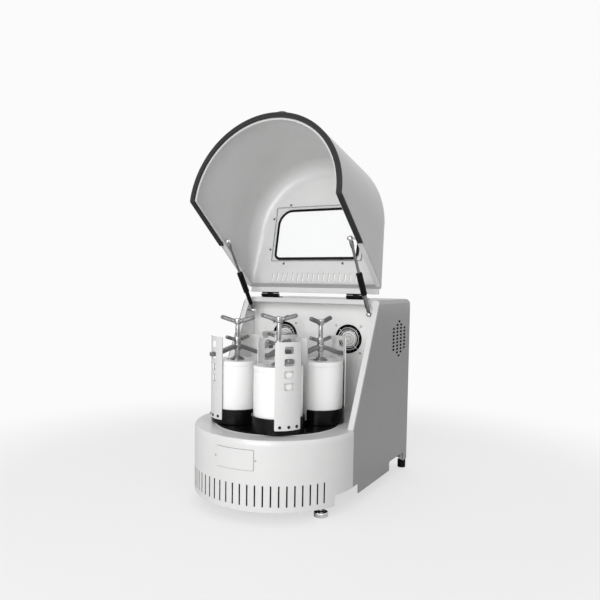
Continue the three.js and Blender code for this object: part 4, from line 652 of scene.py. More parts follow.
def addHood():
    # a wall bent round the drum's shape that rounds over into the roof, which has the window and the vents
    hood = dict(lowZ=218, topZ=564, fillet=50, rearFillet=18, rearY=189, edgeShift=7.85, stripRise=1.6,
                windowHalf=146, windowY=(-80, 84), windowCorners=[50, 50, 20, 20], borderZ=556.3,
                ventCount=17, ventPitch=18.2, ventWidth=5, ventY=(127, 154), rimWidth=19, rimTop=545,
                stud=(73.9, 370.2, 225), screws=[(-109, -98), (109, -98), (-166, -53), (166, -53),
                                                 (-167, 49), (167, 49), (-111, 96), (96, 96)])
    r, t, low, top, soft = body["radius"], body["sheet"], hood["lowZ"], hood["topZ"], hood["fillet"]
    rise = top - soft - low
    quarter = math.pi / 2 * r
    def filletAt(y):
        # the rounding narrows evenly along the straight sides
        return soft - (soft - hood["rearFillet"]) * np.clip(y / hood["rearY"], 0, 1)
    def onShell(u, v, depth):
        # u round the drum's shape, v up the wall and over the rounding
        x, y, nx, ny = dPath(u, r)
        f = filletAt(y)
        a = np.clip((v - rise) / soft, 0, math.pi / 2)
        inset = f * (1 - np.cos(a)) + depth * np.cos(a) + np.maximum(v - rise - soft * math.pi / 2, 0)
        z = low + np.minimum(v / rise, 1) * (top - f - low) + (f - depth) * np.sin(a)
        return np.stack([x - nx * inset, y - ny * inset, z], -1)
    def edgeY(z):
        # the hood's edge stands this much in front of the casing's slope
        return np.maximum(slopeY(z) - hood["edgeShift"], 0)
    def flatHeight(y, z):
        # where a point at y and height z lies in the wall's flat pattern
        f = filletAt(y)
        over = rise + soft * np.arcsin(np.clip((z - top + f) / f, 0, 1))
        return np.where(z <= top - f, (z - low) * rise / (top - f - low), over)
    stripZ, end = top - t + hood["stripRise"], quarter + hood["rearY"]
    z = np.concatenate([np.linspace(low, 500, 24), np.linspace(500, stripZ, 16)[1:]])
    right = np.vstack([np.stack([quarter + edgeY(z), flatHeight(edgeY(z), z)], -1),
                       [[end, flatHeight(hood["rearY"], stripZ)], [end, rise + soft * math.pi / 2 + 0.6]]])
    # the inner side, its rims and the vent lips take the lighter lining paint: painted light for the bounce from below
    shell = lined(plate(np.vstack([(right * [-1, 1])[::-1], right]), [], 10, t, onShell), 4)
    rearFlat = r - hood["rearFillet"]
    roof = np.vstack([arcLine(r - soft, 180, 360, 61), [[rearFlat, hood["rearY"]], [-rearFlat, hood["rearY"]]]])
    h, (y0, y1) = hood["windowHalf"], hood["windowY"]
    holes, vents = [roundedRectangle(-h, h, y0, y1, hood["windowCorners"], 12)], []
    for k in range(hood["ventCount"]):
        x, w = (k - (hood["ventCount"] - 1) / 2) * hood["ventPitch"], hood["ventWidth"] / 2
        holes.append(roundedRectangle(x - w, x + w, *hood["ventY"], w, 5))
        # a pressed rim round each vent, standing proud on the inside
        w += 0.5
        line = roundedRectangle(x - w, x + w, hood["ventY"][0] - 0.5, hood["ventY"][1] + 0.5, w, 5)
        vents.append(carried(atHeight(line, top - t), circle(0.9, count=8), closed=True) + (4,))
    sheet = lined(plate(roof, holes, 16, t, level(top)), 4)
    # inward rim along the lower edge: flat in front, slanted on the sides and across the rear
    width, rimTop = hood["rimWidth"], hood["rimTop"]
    front = np.vstack([arcLine(r - 0.6, 180, 360, 61), arcLine(r - width, 360, 180, 61)])
    frontRim = plate(front, [], 10, t - 0.4, level(low + 0.2, 1))
    z = np.linspace(low, top - t - 0.4, 32)
    f = filletAt(edgeY(z))
    lift = np.clip((z - top + f) / f, 0, 1)
    outer = np.stack([r - 0.6 - f * (1 - np.sqrt(1 - lift ** 2)), z], -1)
    inner = [[width - r, low], [width - r, rimTop], [r - width, rimTop], [r - width, low]]
    slantRim = plate(np.vstack([outer, (outer * [-1, 1])[::-1], inner]), [], 10, t - 0.4,
                     lambda u, v, depth: np.stack([u, edgeY(v), v], -1) - slopeNormal * (0.2 + depth))
    across = slantRim[0][:, 2] > rimTop - 1    # the part across the rear is painted as the outside
    slantRim += ([0 if across[q].all() else 4 for q in slantRim[1]],)
    parts = [shell, sheet] + vents + [frontRim + (4,), slantRim]
    for side in (-1, 1):
        parts += [ballStud(side, *hood["stud"])] + hoodLeaf(side)
    makePiece("hoodShell", parts, "hood", ["hood_shell"],
              ["hoodPaint", "brightSteel", "blackCoat", "screwBlack", "hoodLiningPaintedLight"], place=toOpenHood)
    # black edging round the window, the printed border of the pane and the screws that hold it
    section = softCorners([(-1.6, -2.2), (2.6, -2.2), (2.6, 3.2), (-1.6, 3.2), (-1.6, -2.2)], 1.2, 3)[:-1]
    corners = [c - 0.5 for c in hood["windowCorners"]]
    line = spaced(roundedRectangle(-h + 0.5, h - 0.5, y0 + 0.5, y1 - 0.5, corners, 14), 12)
    edging = carried(atHeight(line, top - 1.0), section[:, ::-1], closed=True)
    border = carried(atHeight(line, hood["borderZ"]), [(-0.3, -6.8), (0.3, -6.8), (0.3, 1.2), (-0.3, 1.2)], closed=True)
    screws = []
    for x, y in hood["screws"]:
        screws += headAt(x, y, top - t, (0, 0, -1), 3.8, 2.2) + headAt(x, y, top, (0, 0, 1), 3.4, 1.6)
    makePiece("windowEdging", [edging, border] + screws, "hood", (), ["blackPlastic", "wingSteel", "screwBlack"],
              place=toOpenHood)

def hoodLeaf(side):
    # black leaf on the roof sheet with its middle knuckle and screws
    y, z, thick, knuckle, third = hinge["y"], hinge["hoodLeafZ"], hinge["thick"], hinge["knuckle"], hinge["leafWidth"] / 3
    x = side * hinge["leafX"]
    x0, x1 = x - hinge["leafWidth"] / 2, x + hinge["leafWidth"] / 2
    a, b = x0 + third + 0.2, x1 - third - 0.2
    parts = [slab(x0, x1, y - hinge["leafDepth"] - knuckle, y - knuckle - 0.4, z, z + thick, 2, 0.6) + (2,),
             slab(a, b, y - knuckle - 3, y - 1, z, z + thick, 0.6, 0.4) + (2,),
             turned(knuckle, a, b, 0.5, 28, hinge["knuckleBore"], axis="x", y=y, z=hinge["z"]) + (2,)]
    for dx in hinge["screwX"]:
        parts += headAt(x + dx, y - hinge["leafDepth"] / 2 - knuckle - 3, z + thick, (0, 0, 1), 2.7, 1.3, 3, 3)
    return parts

def addHoodTrim():
    # the seal, the window's pane and the handle
    seal = dict(width=14, height=6.2, x=228, top=377.5, low=214.6, groove=1.2)
    # black seal under the rim: up the slanted edges and round the front
    low, w, h, g = seal["low"], seal["width"] / 2, seal["height"] / 2, seal["groove"]
    z = np.append(np.linspace(seal["top"], low + 8, 17), [low + 1, low])   # close points keep the kink sharp
    side = np.stack([np.full_like(z, seal["x"]), slopeY(z) - 4.0, z], -1)
    a = np.concatenate([[359.7], np.linspace(360, 180, 97)[1:-1], [180.3]])
    front = np.stack([seal["x"] * cosd(a), seal["x"] * sind(a), np.full_like(a, low)], -1)
    path = np.vstack([side[:-1], front, (side * [-1, 1, 1])[::-1][1:]])
    section = softCorners([(-w, -h), (-g, -h), (0, -h + g), (g, -h), (w, -h), (w, h), (-w, h), (-w, -h)],
                          [0, 1, 1, 1, 2, 1, 1, 0], 3)[:-1]
    band = carried(path, section, start=(1.0, 0, 0))
    makePiece("hoodSeal", [band], "hood", ["hood_seal"], ["rubber"], place=toOpenHood)
    sheet = dict(half=157, y=(-90, 88), z=(556.7, 560.7), corner=1.5, edge=0.5)
    v, f = slab(-sheet["half"], sheet["half"], *sheet["y"], *sheet["z"], sheet["corner"], sheet["edge"])
    pane = (v, f, [1] * (len(f) - 2) + [0, 0])    # its cut edges look darker than its two faces
    makePiece("windowPane", [pane], "hood", ["window_pane"], ["clearPane", "paneEdge"], place=toOpenHood)
    # the handle is an arch of bright rod: half an ellipse between its two roots
    grip = dict(half=30, out=260, thick=3, z=262, collar=5.4)
    root = -math.sqrt(body["radius"] ** 2 - grip["half"] ** 2)
    a = np.linspace(0, 180, 41)
    path = np.stack([-grip["half"] * cosd(a), root - (grip["out"] + root) * sind(a), np.full_like(a, grip["z"])], -1)
    parts = [carried(path, circle(grip["thick"], count=20))]
    for side in (-1, 1):
        at = dict(axis="y", x=side * grip["half"], z=grip["z"])
        parts.append(turned(grip["collar"], root - 2.4, root + 0.8, 0.7, 28, **at))
    makePiece("hoodHandle", parts, "hood", ["hood_handle"], ["wingSteel"], place=toOpenHood)

def addBodyLeaves():
    # the casing's leaves: two knuckles each, and the pin
    y, z, thick, knuckle, pin = hinge["y"], body["topZ"] + 0.2, hinge["thick"], hinge["knuckle"], hinge["pin"]
    third, line = hinge["leafWidth"] / 3, dict(axis="x", y=y, z=hinge["z"])
    for side, name in ((-1, "left"), (1, "right")):
        x = side * hinge["leafX"]
        x0, x1 = x - hinge["leafWidth"] / 2, x + hinge["leafWidth"] / 2
        parts = [slab(x0, x1, y + knuckle + 0.6, y + hinge["leafDepth"], z, z + thick, 2, 0.6)]
        for a, b in ((x0, x0 + third - 0.4), (x1 - third + 0.4, x1)):
            parts += [slab(a, b, y + 0.5, y + knuckle + 2, z, z + thick, 0.6, 0.4),
                      turned(knuckle, a, b, 0.5, 28, **line)]
        parts.append(turned(pin, x0 - 0.5, x1 + 0.5, 0.4, 18, **line) + (1,))
        for dx in hinge["screwX"]:
            parts += headAt(x + dx, y + hinge["leafDepth"] - 9, z + thick, (0, 0, 1), 2.7, 1.3, 2, 2)
        makePiece("hingeLeaf_" + name, parts, "frame", ["hinge_leaf_" + name],
                  ["blackCoat", "brightSteel", "screwBlack"])

def addStruts():
    # gas struts: turned parts along z, then leant from the casing's stud to the hood's
    strut = dict(x=201, lowY=177, lowZ=517, highY=31, highZ=729, sleeveFrom=72, sleeveTo=144, tube=6.5, tubeBore=4.9,
                 sleeve=9, rod=4, eye=7.5, eyeHalf=6.4, nut=4.2)
    e, eye, rod, tube, bore, outer = (strut[k] for k in ("eyeHalf", "eye", "rod", "tube", "tubeBore", "sleeve"))
    start, end = strut["sleeveFrom"], strut["sleeveTo"]
    lean = math.atan2(strut["lowY"] - strut["highY"], strut["highZ"] - strut["lowZ"])
    length = math.hypot(strut["lowY"] - strut["highY"], strut["highZ"] - strut["lowZ"])
    def socket(z):
        # ball socket with its tapered sides and the nut on it
        line = [(0, -e), (4.4, -e), (eye, -3.6), (eye, 3.6), (4.4, e), (0, e)]
        return [softLathe(line, [0, 1, 2.4, 2.4, 1, 0], 32, axis="x", z=z) + (2,),
                turned(strut["nut"], -e - 2.2, -e + 0.5, 0, 6, axis="x", z=z) + (1,)]
    for side, name in ((-1, "left"), (1, "right")):
        m = Matrix.Translation((side * strut["x"], strut["lowY"], strut["lowZ"])) @ Matrix.Rotation(lean, 4, "X")
        shank = softLathe([(0, 5), (3.2, 5), (3.2, 9), (5.4, 11), (5.4, 26), (0, 26)], 0.8, 36)
        hollow = softLathe([(0, 24), (5.6, 24), (tube, 27), (tube, start + 1), (bore, start + 1), (bore, 45), (0, 45)],
                           0.8, 36)
        sleeve = softLathe([(tube - 1, start), (outer, start), (outer, end), (rod + 0.9, end), (rod + 0.9, end - 6)],
                           1.6, 36)
        parts = [shank + (1,), hollow + (0 if side < 0 else 1,), sleeve + (0,)] + socket(0)
        makePiece("strutCylinder_" + name, [moved(p, m) for p in parts], "strut_cylinder_" + name,
                  ["strut_cylinder_" + name], ["blackPlastic", "rodSteel", "chrome"])
        line = [(0, end - 14), (rod, end - 14), (rod, length - 30), (5.2, length - 28), (6.2, length - 12),
                (4.0, length - 5), (0, length - 5)]
        parts = [softLathe(line, [0, 0.5, 0.5, 1, 2, 1, 0], 32) + (1,)] + socket(length)
        makePiece("strutRod_" + name, [moved(p, m) for p in parts], "strut_rod_" + name,
                  ["strut_rod_" + name], ["blackCoat", "rodSteel", "chrome"])

addHood()
addHoodTrim()
print("hood made")
addBodyLeaves()
addStruts()
print("hinges and struts made")

fan = dict(x=112.5, z=437, bore=43, size=92, depth=25, flange=4, hub=21, blades=7, screw=82.5, wall=3,
           frontY=body["backWallY"])

def screwHoles(radius, x=0, z=0, count=12):
    # the fan's four screw holes about x, z
    half = fan["screw"] / 2
    return [circle(radius, x + dx * half, z + dz * half, count) for dx in (-1, 1) for dz in (-1, 1)]

def addChamberBack():
    # the flat wall behind the turntable, with a round opening and four screw holes for each fan
    back = dict(half=231.7, low=208, top=556.7, corner=13)
    holes, half, corner = [], back["half"], back["corner"]
    for x in (-fan["x"], fan["x"]):
        holes += [circle(fan["bore"], x, fan["z"], 72)] + screwHoles(2.7, x, fan["z"])
    outline = roundedRectangle(-half, half, back["low"], back["top"], [0, 0, corner, corner])
    sheet = plate(outline, holes, 18, fan["wall"], upright(fan["frontY"]))
    makePiece("chamberBack", [sheet], "frame", ["chamber_back"], ["wallPaint"])

def wireRing(radius, thick, y, x=0, z=0, around=72, sides=10):
    # a closed ring of wire that stands upright at depth y
    line = circle(radius, x, z, around)
    path = np.stack([line[:, 0], np.full(around, y), line[:, 1]], -1)
    return carried(path, circle(thick, count=sides), closed=True)

def addFans():
    # each fan: a square frame, a finger guard in front of the wall, and the rotor on its own body
    guard = dict(rings=[(42.4, 1.9, 0), (34.2, 1.1, 1), (27.4, 1.1, 1)], wires=(45, 135, 225, 315), arms=(30, 150, 270),
                 wire=0.85, wireFrom=20, bend=47, wireTo=54, loopAt=58.34, loop=3.6, loopWire=0.9,
                 cap=20, capBase=24.2, capRings=(8, 17))
    blade = dict(tip=39.6, pitch=52, untwist=16, chord=8.4, narrower=0.6, camber=1.6, halfThick=0.7)
    bore, hub = fan["bore"], fan["hub"]
    front = fan["frontY"] + fan["wall"] + 0.3
    back, h = front + fan["depth"], fan["size"] / 2
    outline, holes = roundedRectangle(-h, h, -h, h, 4, 4), [circle(bore, count=64)] + screwHoles(2.3, count=10)
    parts = [plate(outline, holes, 16, fan["flange"], upright(y)) for y in (front, back - fan["flange"])]
    parts += [turned(bore + 2.2, front + 1, back - 1, 0, 64, bore + 0.1, axis="y"),
              turned(hub, back - 2.4, back, 0.5, axis="y")]
    for a in guard["arms"]:
        arm = slab(hub - 2, bore + 2, -2.4, 2.4, -1.2, 1.2, 0.5, 0.4)
        parts.append(moved(arm, Matrix.Translation((0, back - 1.2, 0)) @ spin(-a, "Y") @ spin(90, "X")))
    # bright rings of the guard, on four wires that end in screwed loops
    y = fan["frontY"] - 1.2
    parts += [wireRing(r, w, y) + (m,) for r, w, m in guard["rings"]]
    for a in guard["wires"]:
        c, s = cosd(a), sind(a)
        path = [[r * c, y, r * s] for r in (guard["wireFrom"], guard["bend"], guard["wireTo"])]
        x, z = guard["loopAt"] * c, guard["loopAt"] * s
        parts += [carried(spaced(path, 6, False), circle(guard["wire"], count=8)) + (1,),
                  wireRing(guard["loop"], guard["loopWire"], y, x, z, 24, 8) + (1,)]
        parts += headAt(x, y - 0.8, z, (0, -1, 0), 3.4, 1.8, 2, 2)
    y += 2.2
    cap, base = guard["cap"], guard["capBase"]
    line = [(0, y - 1.6), (cap, y - 1.6), (base, y - 0.8), (base, y + 1.2), (0, y + 1.2)]
    parts.append(softLathe(line, 0.8, 48, axis="y") + (3,))
    for r in guard["capRings"]:
        line = [(r, y - 1.4), (r, y - 2.1), (r + 0.8, y - 2.1), (r + 0.8, y - 1.2)]
        parts.append(softLathe(line, 0.3, 40, axis="y"))
    # rotor: each blade is a sheet whose pitch eases from hub to tip, curved by a parabola across its chord
    mid = (front + back) / 2 - 1
    u, v = np.linspace(0, 1, 9)[:, None], np.linspace(-1, 1, 9)[None, :]
    radius = hub - 1 + (blade["tip"] - hub + 1) * u
    pitch = np.radians(blade["pitch"] - blade["untwist"] * u)
    chord, camber = blade["chord"] - blade["narrower"] * u, blade["camber"] * (1 - v ** 2)
    tangent = v * chord * np.cos(pitch) + camber * np.sin(pitch)
    axial = v * chord * np.sin(pitch) - camber * np.cos(pitch)
    rotor = [turned(hub - 1, mid - 8, mid + 9, 1.5, axis="y")]
    for k in range(fan["blades"]):
        a = 2 * np.pi * k / fan["blades"] + tangent / radius
        top, under = (np.stack([radius * np.cos(a), mid + axial + lift, radius * np.sin(a)], -1)
                      for lift in (blade["halfThick"], -blade["halfThick"]))
        rotor.append(capped(np.concatenate([top, under[:, ::-1]], 1)))
    for side, name in ((-1, "left"), (1, "right")):
        x = side * fan["x"]
        makePiece("fanFrame_" + name, [shifted(p, x, 0, fan["z"]) for p in parts], "frame", ["fan_frame_" + name],
                  ["fanBlack", "guardWire", "castSteel", "hubPlastic"])
        makePiece("fanRotor_" + name, [shifted(p, x, 0, fan["z"]) for p in rotor], "fan_rotor_" + name,
                  ["fan_rotor_" + name], ["fanBlack"])

def addRearPanel():
    # the flat rear sheet with its inlet opening, and louvres with a pressed lip over each
    rear = dict(half=215.7, low=47.3, high=540.7, corner=16, y=445.4, inlet=(-166.3, -133.7, 116.7, 143.3),
                louvreX=112.5, louvreHalf=35, louvreZ=388, louvreStep=20, louvreCount=5, louvreHigh=5, lip=1.1,
                screwX=(-180, 0, 180), screwIn=22)
    half, high, y = rear["louvreHalf"], rear["louvreHigh"], rear["y"]
    holes, lips = [roundedRectangle(*rear["inlet"], 1.2, 2)], []
    for k in range(rear["louvreCount"]):
        z = rear["louvreZ"] + k * rear["louvreStep"]
        for x in (-rear["louvreX"], rear["louvreX"]):
            holes.append(roundedRectangle(x - half, x + half, z, z + high, 2.4, 4))
            line = np.stack([np.linspace(x - half, x + half, 15), np.full(15, y), np.full(15, z + high + 0.6)], -1)
            lips.append(carried(line, circle(rear["lip"], count=10)))
    outline = roundedRectangle(-rear["half"], rear["half"], rear["low"], rear["high"], rear["corner"])
    parts = [mirrored(plate(outline, holes, 24, 3, upright(y, -1, -1)))] + lips    # the inlet at the front's left
    for x in rear["screwX"]:
        for z in (rear["low"] + rear["screwIn"], rear["high"] - rear["screwIn"]):
            parts += headAt(x, y, z, (0, 1, 0), 3.2, 1.9)
    makePiece("rearPanel", parts, "frame", ["rear_panel"], ["bodyPaint", "zinc", "screwBlack"])

def addFeet():
    # in front knurled discs on threaded stems, behind pucks under short painted posts
    foot = dict(x=188.9, y=-96.2, radius=18.5, height=13, ribs=36, ribDepth=0.55, stem=5, threadPitch=0.75,
                threadDepth=0.45, nut=9, nutFrom=38, nutTo=46, top=56,
                rearX=222, rearY=440, rearRadius=13, rearHigh=26, post=8)
    radius, height, stem, top, high = (foot[k] for k in ("radius", "height", "stem", "top", "rearHigh"))
    for side, name in ((-1, "left"), (1, "right")):
        x, y = side * foot["x"], foot["y"]
        # knurled disc: the rim's radius ripples round the disc
        line = [(0, 0), (radius, 0), (radius, height), (stem * 2, height), (stem, height + 4), (0, height + 4)]
        p = softCorners(line, [0, 2, 2.4, 1, 1, 0])
        t = turns(foot["ribs"] * 6)
        outer = np.clip((p[:, 0] - radius + 3) / 3, 0, 1)[:, None]
        r = p[:, :1] - foot["ribDepth"] * outer * (0.5 + 0.5 * np.cos(foot["ribs"] * t))
        grid = [r * np.cos(t) + x, r * np.sin(t) + y, np.repeat(p[:, 1:2], len(t), 1)]
        disc = gridSurface(np.stack(grid, -1), closeV=True)
        z = np.arange(height + 4, top - 0.4, foot["threadPitch"])
        thread = np.stack([stem - foot["threadDepth"] * (np.arange(len(z)) % 2), z], -1)
        shank = lathe(np.vstack([[(0, z[0])], thread, [(0, z[-1])]]), 28, x=x, y=y)
        nut = turned(foot["nut"], foot["nutFrom"], foot["nutTo"], 0.6, 6, x=x, y=y)
        makePiece("levellingFoot_" + name, [disc, shank + (1,), nut + (1,)], "frame", ["levelling_foot_" + name],
                  ["chrome", "zinc"])
        at = dict(x=side * foot["rearX"], y=foot["rearY"])
        puck = turned(foot["rearRadius"], 0, high, [0, 1.6, 1.5, 0], 48, **at)
        post = turned(foot["post"], high - 0.5, top, 0, 36, **at)
        makePiece("rearFoot_" + name, [puck, post + (1,)], "frame", ["rear_foot_" + name],
                  ["blackPlastic", "wallPaint"])

addChamberBack()
addFans()
addRearPanel()
addFeet()
print("chamber, fans, rear panel and feet made")

def addTurntable():
    # black disc with a raised cap and four screws on it
    table = dict(radius=171, low=199, top=213, cap=34, capRise=2, screwAt=20)
    r, low, top, cap = (table[k] for k in ("radius", "low", "top", "cap"))
    high = top + table["capRise"]
    parts = [softLathe([(0, low), (r, low), (r, top), (cap, top), (cap, high), (0, high)], [0, 1.5, 1.8, 0.4, 0.8, 0], 144)]
    for a in (45, 135, 225, 315):
        parts += headAt(table["screwAt"] * cosd(a), table["screwAt"] * sind(a), high, (0, 0, 1), 4.2, 2.2, 1, 1)
    makePiece("turntable", parts, "turntable", ["turntable"], ["blackCoat", "screwBlack"])

def wingArms(reach, z, halfThick, halfWide, ribs, hub, bore=0):
    # two rising arms: the section is a superellipse whose height ripples in ribs, narrows at a pocket along
    # its middle and closes round at the tip; nothing comes nearer to the middle than the bore
    arm = dict(rise=17, rows=72, around=40, neck=0.12, neckRun=0.22, rib=0.13, ribsFrom=1.6,
               pocket=0.32, pocketFrom=1.5, pocketEnd=5, pocketRun=4, squareness=0.7)
    rise = math.radians(arm["rise"])
    def ramp(start, run):
        # from 0 at start to 1 after its run along the arm
        return np.clip((along - start) / run, 0, 1)
    t, a = np.linspace(0, 1, arm["rows"])[:, None], turns(arm["around"])[None, :]
    along = hub * 0.4 + (reach - hub * 0.4) * t
    tip = np.sqrt(np.clip(1 - ramp(reach - halfThick, halfThick) ** 2, 0, 1))
    neck = 1 - arm["neck"] + arm["neck"] * ramp(hub, reach * arm["neckRun"])
    first = hub * arm["ribsFrom"]
    ripple = 1 - arm["rib"] * (0.5 - 0.5 * np.cos(2 * np.pi * ribs * ramp(first, reach - first)))
    pocket = ramp(hub * arm["pocketFrom"], arm["pocketRun"]) * ramp(reach - arm["pocketEnd"], -arm["pocketRun"])
    pocket = arm["pocket"] * pocket * np.clip(2.2 - 3.6 * np.abs(np.sin(a)), 0, 1)
    c, s = superellipse(a, arm["squareness"])
    up = halfThick * neck * tip * ripple * s
    wide = halfWide * neck * tip * (0.5 + 0.5 * ripple) * c * (1 - pocket)
    x = np.maximum((along - up * math.sin(rise)) * np.ones_like(c), bore)
    height = z + along * math.tan(rise) + up * math.cos(rise)
    return [capped(np.stack([side * x, side * wide, height], -1)) for side in (1, -1)]

def superellipse(a, power):
    # cosine and sine of an angle, each raised to a power with its sign kept: squarer as the power falls
    return [np.sign(q) * np.abs(q) ** power for q in (np.cos(a), np.sin(a))]

def threaded(radius, low, high, pitch=2.0, depth=0.55, around=24):
    # a screw thread: the radius falls and rises once round each turn, shifted along with the angle
    z = np.linspace(low, high, int((high - low) / pitch * 6))[:, None]
    t = turns(around)[None, :]
    r = radius - depth * np.abs(2 * ((z / pitch - t / (2 * np.pi)) % 1.0) - 1)
    return capped(np.stack([r * np.cos(t), r * np.sin(t), z + 0 * t], -1), upwards=True)

def barArms(tip, low, middleAt, deepAt, halfThick, halfWide):
    # the crossbar's two arms: a squarish section whose middle drops from the hub's height to the
    # openings' height along a smooth step, while its depth shrinks to the arm's thickness
    arm = dict(dropFrom=10, dropTo=67, straight=0.6, tipRun=3, tipShare=0.25, squareness=0.35)
    x, q = tip * np.linspace(0, 1, 60)[:, None], turns(36)[None, :]
    b = np.clip((arm["dropTo"] - x) / (arm["dropTo"] - arm["dropFrom"]), 0, 1)
    blend = arm["straight"] * b + (1 - arm["straight"]) * b * b * (3 - 2 * b)
    middle, deep = low * (1 - blend) + middleAt * blend, halfThick * (1 - blend) + deepAt * blend
    end = np.sqrt(np.clip(1 - np.clip((x - tip + arm["tipRun"]) / arm["tipRun"], 0, 1) ** 2, 0, 1))
    end = 1 - arm["tipShare"] + arm["tipShare"] * end
    c, s = superellipse(q, arm["squareness"])
    y, z = halfWide * end * c, middle + deep * end * s
    return [capped(np.stack([side * (x + 0 * y), side * y, z], -1)) for side in (1, -1)]

# by station: where it stands round the turntable, the way its plates face, and the ways its handle and its
# nut point, in degrees; and how much higher its handle stands
stations = [dict(angle=-60, facing=-37, handle=24, nut=60, handleUp=8),
            dict(angle=30, facing=57, handle=79, nut=62, handleUp=-5),
            dict(angle=120, facing=-41, handle=84, nut=30, handleUp=-10),
            dict(angle=210, facing=59.5, handle=20, nut=64, handleUp=-5)]

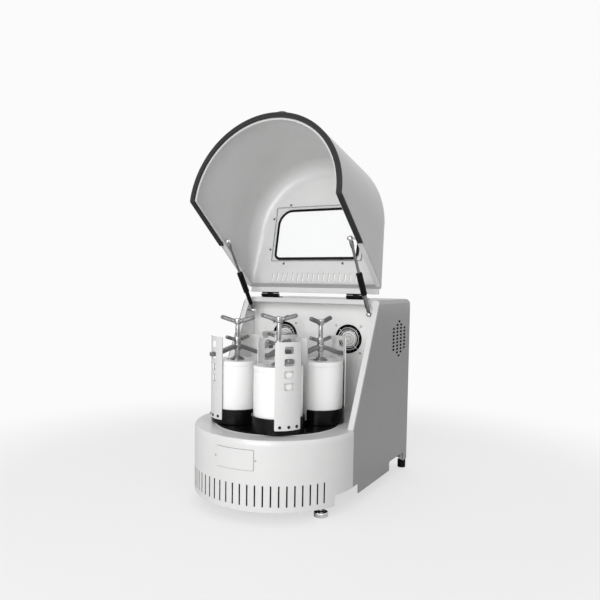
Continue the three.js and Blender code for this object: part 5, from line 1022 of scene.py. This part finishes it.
def addStation(n, turn, beltLow):
    # a grinding jar in its holder with its clamp, made upright at the axis and then put in its place
    st = dict(radius=118, deck=211, gap=2.3, holder=72, holderHigh=42, floor=8, shaft=12, pulley=22, flange=25,
              jar=66, jarTop=164, jarWall=9, lid=13, lidRim=30, lidSink=2,
              fenceIn=70.2, fence=3, fenceHalf=30, fenceLow=13, fenceTop=244, fenceScrews=(-19, 0, 19), screwUp=22,
              windowWide=27, windowHigh=18.6, windowStep=31.4, windowFirst=11.6,
              barTip=82, barThick=12, barHalfWide=8.75, hubLow=205, hubHigh=17, hub=10, bore=7.1,
              pad=20, padThick=5, padNeck=13, screw=6.4, thread=6.5, handleLow=281, handleHub=9.9, nutHigh=19)
    a, d = turn["angle"], st["deck"]
    place = Matrix.Translation((st["radius"] * cosd(a), st["radius"] * sind(a), 0)) @ spin(turn["facing"])
    def piece(title, node, parts, rides, paints):
        # one numbered piece of this station, turned and shifted to its place
        makePiece(title + "_" + n, [moved(p, place) for p in parts], rides + "_" + n, [node + "_" + n], paints)
    def wings(direction, *size):
        # a pair of arms turned to its own direction
        return [moved(p, spin(direction - turn["facing"])) + (1,) for p in wingArms(*size)]
    low = d + st["gap"]
    outer, high, inner, base = st["holder"], low + st["holderHigh"], st["jar"] + 0.6, low + st["floor"]
    cup = softLathe([(0, low), (outer, low), (outer, high), (inner, high), (inner, base), (0, base)],
                    [0, 2.4, 2, 1.2, 0.6, 0], 96)
    shaft = turned(st["shaft"], beltLow - 2, low + 1, 0.6, 40)
    f, p, b = st["flange"], st["pulley"], beltLow
    pulley = softLathe([(10, b - 2), (f, b - 2), (f, b - 0.4), (p, b - 0.4), (p, b + 11), (10, b + 11), (10, b - 2)],
                       0.4, 56)
    parts = [cup, shaft + (4,), pulley + (4,)]
    # two curved fence plates with four openings each and three screws
    rOut, fenceTop = st["fenceIn"] + st["fence"], d + st["fenceTop"]
    half, w = rOut * math.radians(st["fenceHalf"]), st["windowWide"] / 2
    openings = []
    for j in range(4):
        top = fenceTop - st["windowFirst"] - j * st["windowStep"]
        openings.append(roundedRectangle(-w, w, top - st["windowHigh"], top, 4, 5))
    outline = roundedRectangle(-half, half, low + st["fenceLow"], fenceTop, [1, 1, 4, 4], 4)
    def onFence(u, v, depth):
        # u round the plate's outer radius, v up
        return np.stack([(rOut - depth) * np.cos(u / rOut), (rOut - depth) * np.sin(u / rOut), v], -1)
    sheet = plate(outline, openings, 6, st["fence"], onFence) + (1,)
    for side in (0, 180):
        parts.append(moved(sheet, spin(side)))
        for b in st["fenceScrews"]:
            heads = headAt(rOut * cosd(b), rOut * sind(b), low + st["screwUp"], (cosd(b), sind(b), 0), 4.2, 2.0, 2, 3)
            parts += [moved(p, spin(side)) for p in heads]
    piece("jarHolder", "jar_holder", parts, "station",
          ["blackCoat", "fencePaint", "screwBlack", "blackPlastic", "brightSteel"])
    # jar and lid
    r, bottom, top, wall = st["jar"], base + 0.3, d + st["jarTop"], st["jarWall"]
    jar = [(0, bottom), (r, bottom), (r, top), (r - wall, top), (r - wall, bottom + wall), (0, bottom + wall)]
    piece("jar", "jar", [softLathe(jar, [0, 2.5, 0.15, 0.8, 3, 0], 128, 6)], "station", ["ceramic"])
    l0, plug, rim = top + 0.3, r - wall - 0.4, st["lidRim"]
    l1 = l0 + st["lid"]
    face = l1 - st["lidSink"]
    lid = [(0, l0 - 8), (plug, l0 - 8), (plug, l0), (r, l0), (r, l1), (rim, l1), (rim, face), (0, face)]
    piece("jarLid", "jar_lid", [softLathe(lid, [0, 1.5, 0.3, 0.15, 2.0, 0.4, 0.4, 0], 128, 6)], "station", ["ceramic"])
    # crossbar, whose ends lie in the second openings from the top
    bore, hub, hubLow = st["bore"], st["hub"], d + st["hubLow"]
    halfHub, halfThick = st["hubHigh"] / 2, st["barThick"] / 2
    hubTop = hubLow + st["hubHigh"]
    top = fenceTop - st["windowFirst"] - st["windowStep"] - 0.6
    arms = barArms(st["barTip"], top - halfThick, hubLow + halfHub - 0.5, halfHub - 2, halfThick, st["barHalfWide"])
    collar = turned(hub, hubLow - 2, hubTop, 1.0, 48, bore) + (1,)
    piece("crossbar", "crossbar", arms + [collar], "crossbar", ["wingSteel", "screwSteel"])
    # pressure pad with a pale ring at its edge
    p0, r, neck = face + 0.3, st["pad"], st["padNeck"]
    p1, p2 = p0 + st["padThick"], p0 + 9
    pad = softLathe([(0, p0), (r, p0), (r, p0 + 2.2), (r - 1, p0 + 2.6), (r - 1, p1), (neck, p1), (neck, p2),
                     (bore, p2), (bore, p1), (0, p1)], [0, 0.8, 0.5, 0.4, 0.8, 0.6, 0.8, 0.5, 0.2, 0], 64, 4)
    ring = softLathe([(r - 2, p0 - 0.1), (r + 0.4, p0 - 0.1), (r + 0.4, p0 + 2.0), (r - 2, p0 + 2.0)], 0.5, 64)
    piece("pressurePad", "pressure_pad", [pad, ring + (1,)], "pressure_pad", ["wingSteel", "screwSteel"])
    # clamp screw with its winged handle
    h0, r, shank = d + st["handleLow"] + turn["handleUp"], st["screw"], hubTop + 22
    stem = softLathe([(0, shank), (r, shank), (r, h0 - 4), (5.2, h0 - 3), (5.2, h0 + 1), (0, h0 + 1)], 0.6, 48)
    wide, h1 = st["handleHub"], h0 + 14.5
    boss = softLathe([(0, h0), (8.4, h0), (wide, h0 + 3), (wide, h0 + 14), (8.8, h0 + 17), (r, h0 + 17), (r, h1), (0, h1)],
                     [0, 1, 1.5, 1.5, 0.8, 0.5, 0.4, 0], 48)
    plugTop = softLathe([(0, h1 + 0.1), (6.2, h1 + 0.1), (5.6, h1 + 2.1), (0, h1 + 2.1)], 0.5, 32)
    parts = [threaded(st["thread"], p1 + 0.3, shank + 1), stem, plugTop + (2,), boss]
    parts += wings(turn["handle"], 49.5, h0 + 6.4, 6.2, 6.2, 9, wide)
    piece("clampScrew", "clamp_screw", parts, "clamp_screw", ["screwSteel", "wingSteel", "blackCoat"])
    # lock nut, whose wings start outside its bore
    n0 = hubTop + 0.3
    nut = turned(hub, n0, n0 + st["nutHigh"], [0, 1.2, 2.4, 0.6, 0], 48, bore, 4)
    parts = [nut] + wings(turn["nut"], 38, n0 + 8.2, 5.2, 6.0, 7, 10, 8.0)
    piece("lockNut", "lock_nut", parts, "lock_nut", ["screwSteel", "wingSteel"])

addTurntable()
for k, turn in enumerate(stations):
    addStation(str(k + 1), turn, 109.3 + 16 * (k % 2))    # belts run at two heights in turn
print("turntable and stations made")

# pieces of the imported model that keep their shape
kept = dict(base_plate="castGrey", motor="castGrey", bearing_housing="castGrey", main_shaft="brightSteel",
            motor_pulley="castSteel", drive_belt="rubber", planet_belt_1="rubber", planet_belt_2="rubber",
            power_inlet="blackPlastic")
for name, finishName in kept.items():
    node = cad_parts[name]
    node.data.materials.clear()
    node.data.materials.append(finishes[finishName])

print("scene ready")
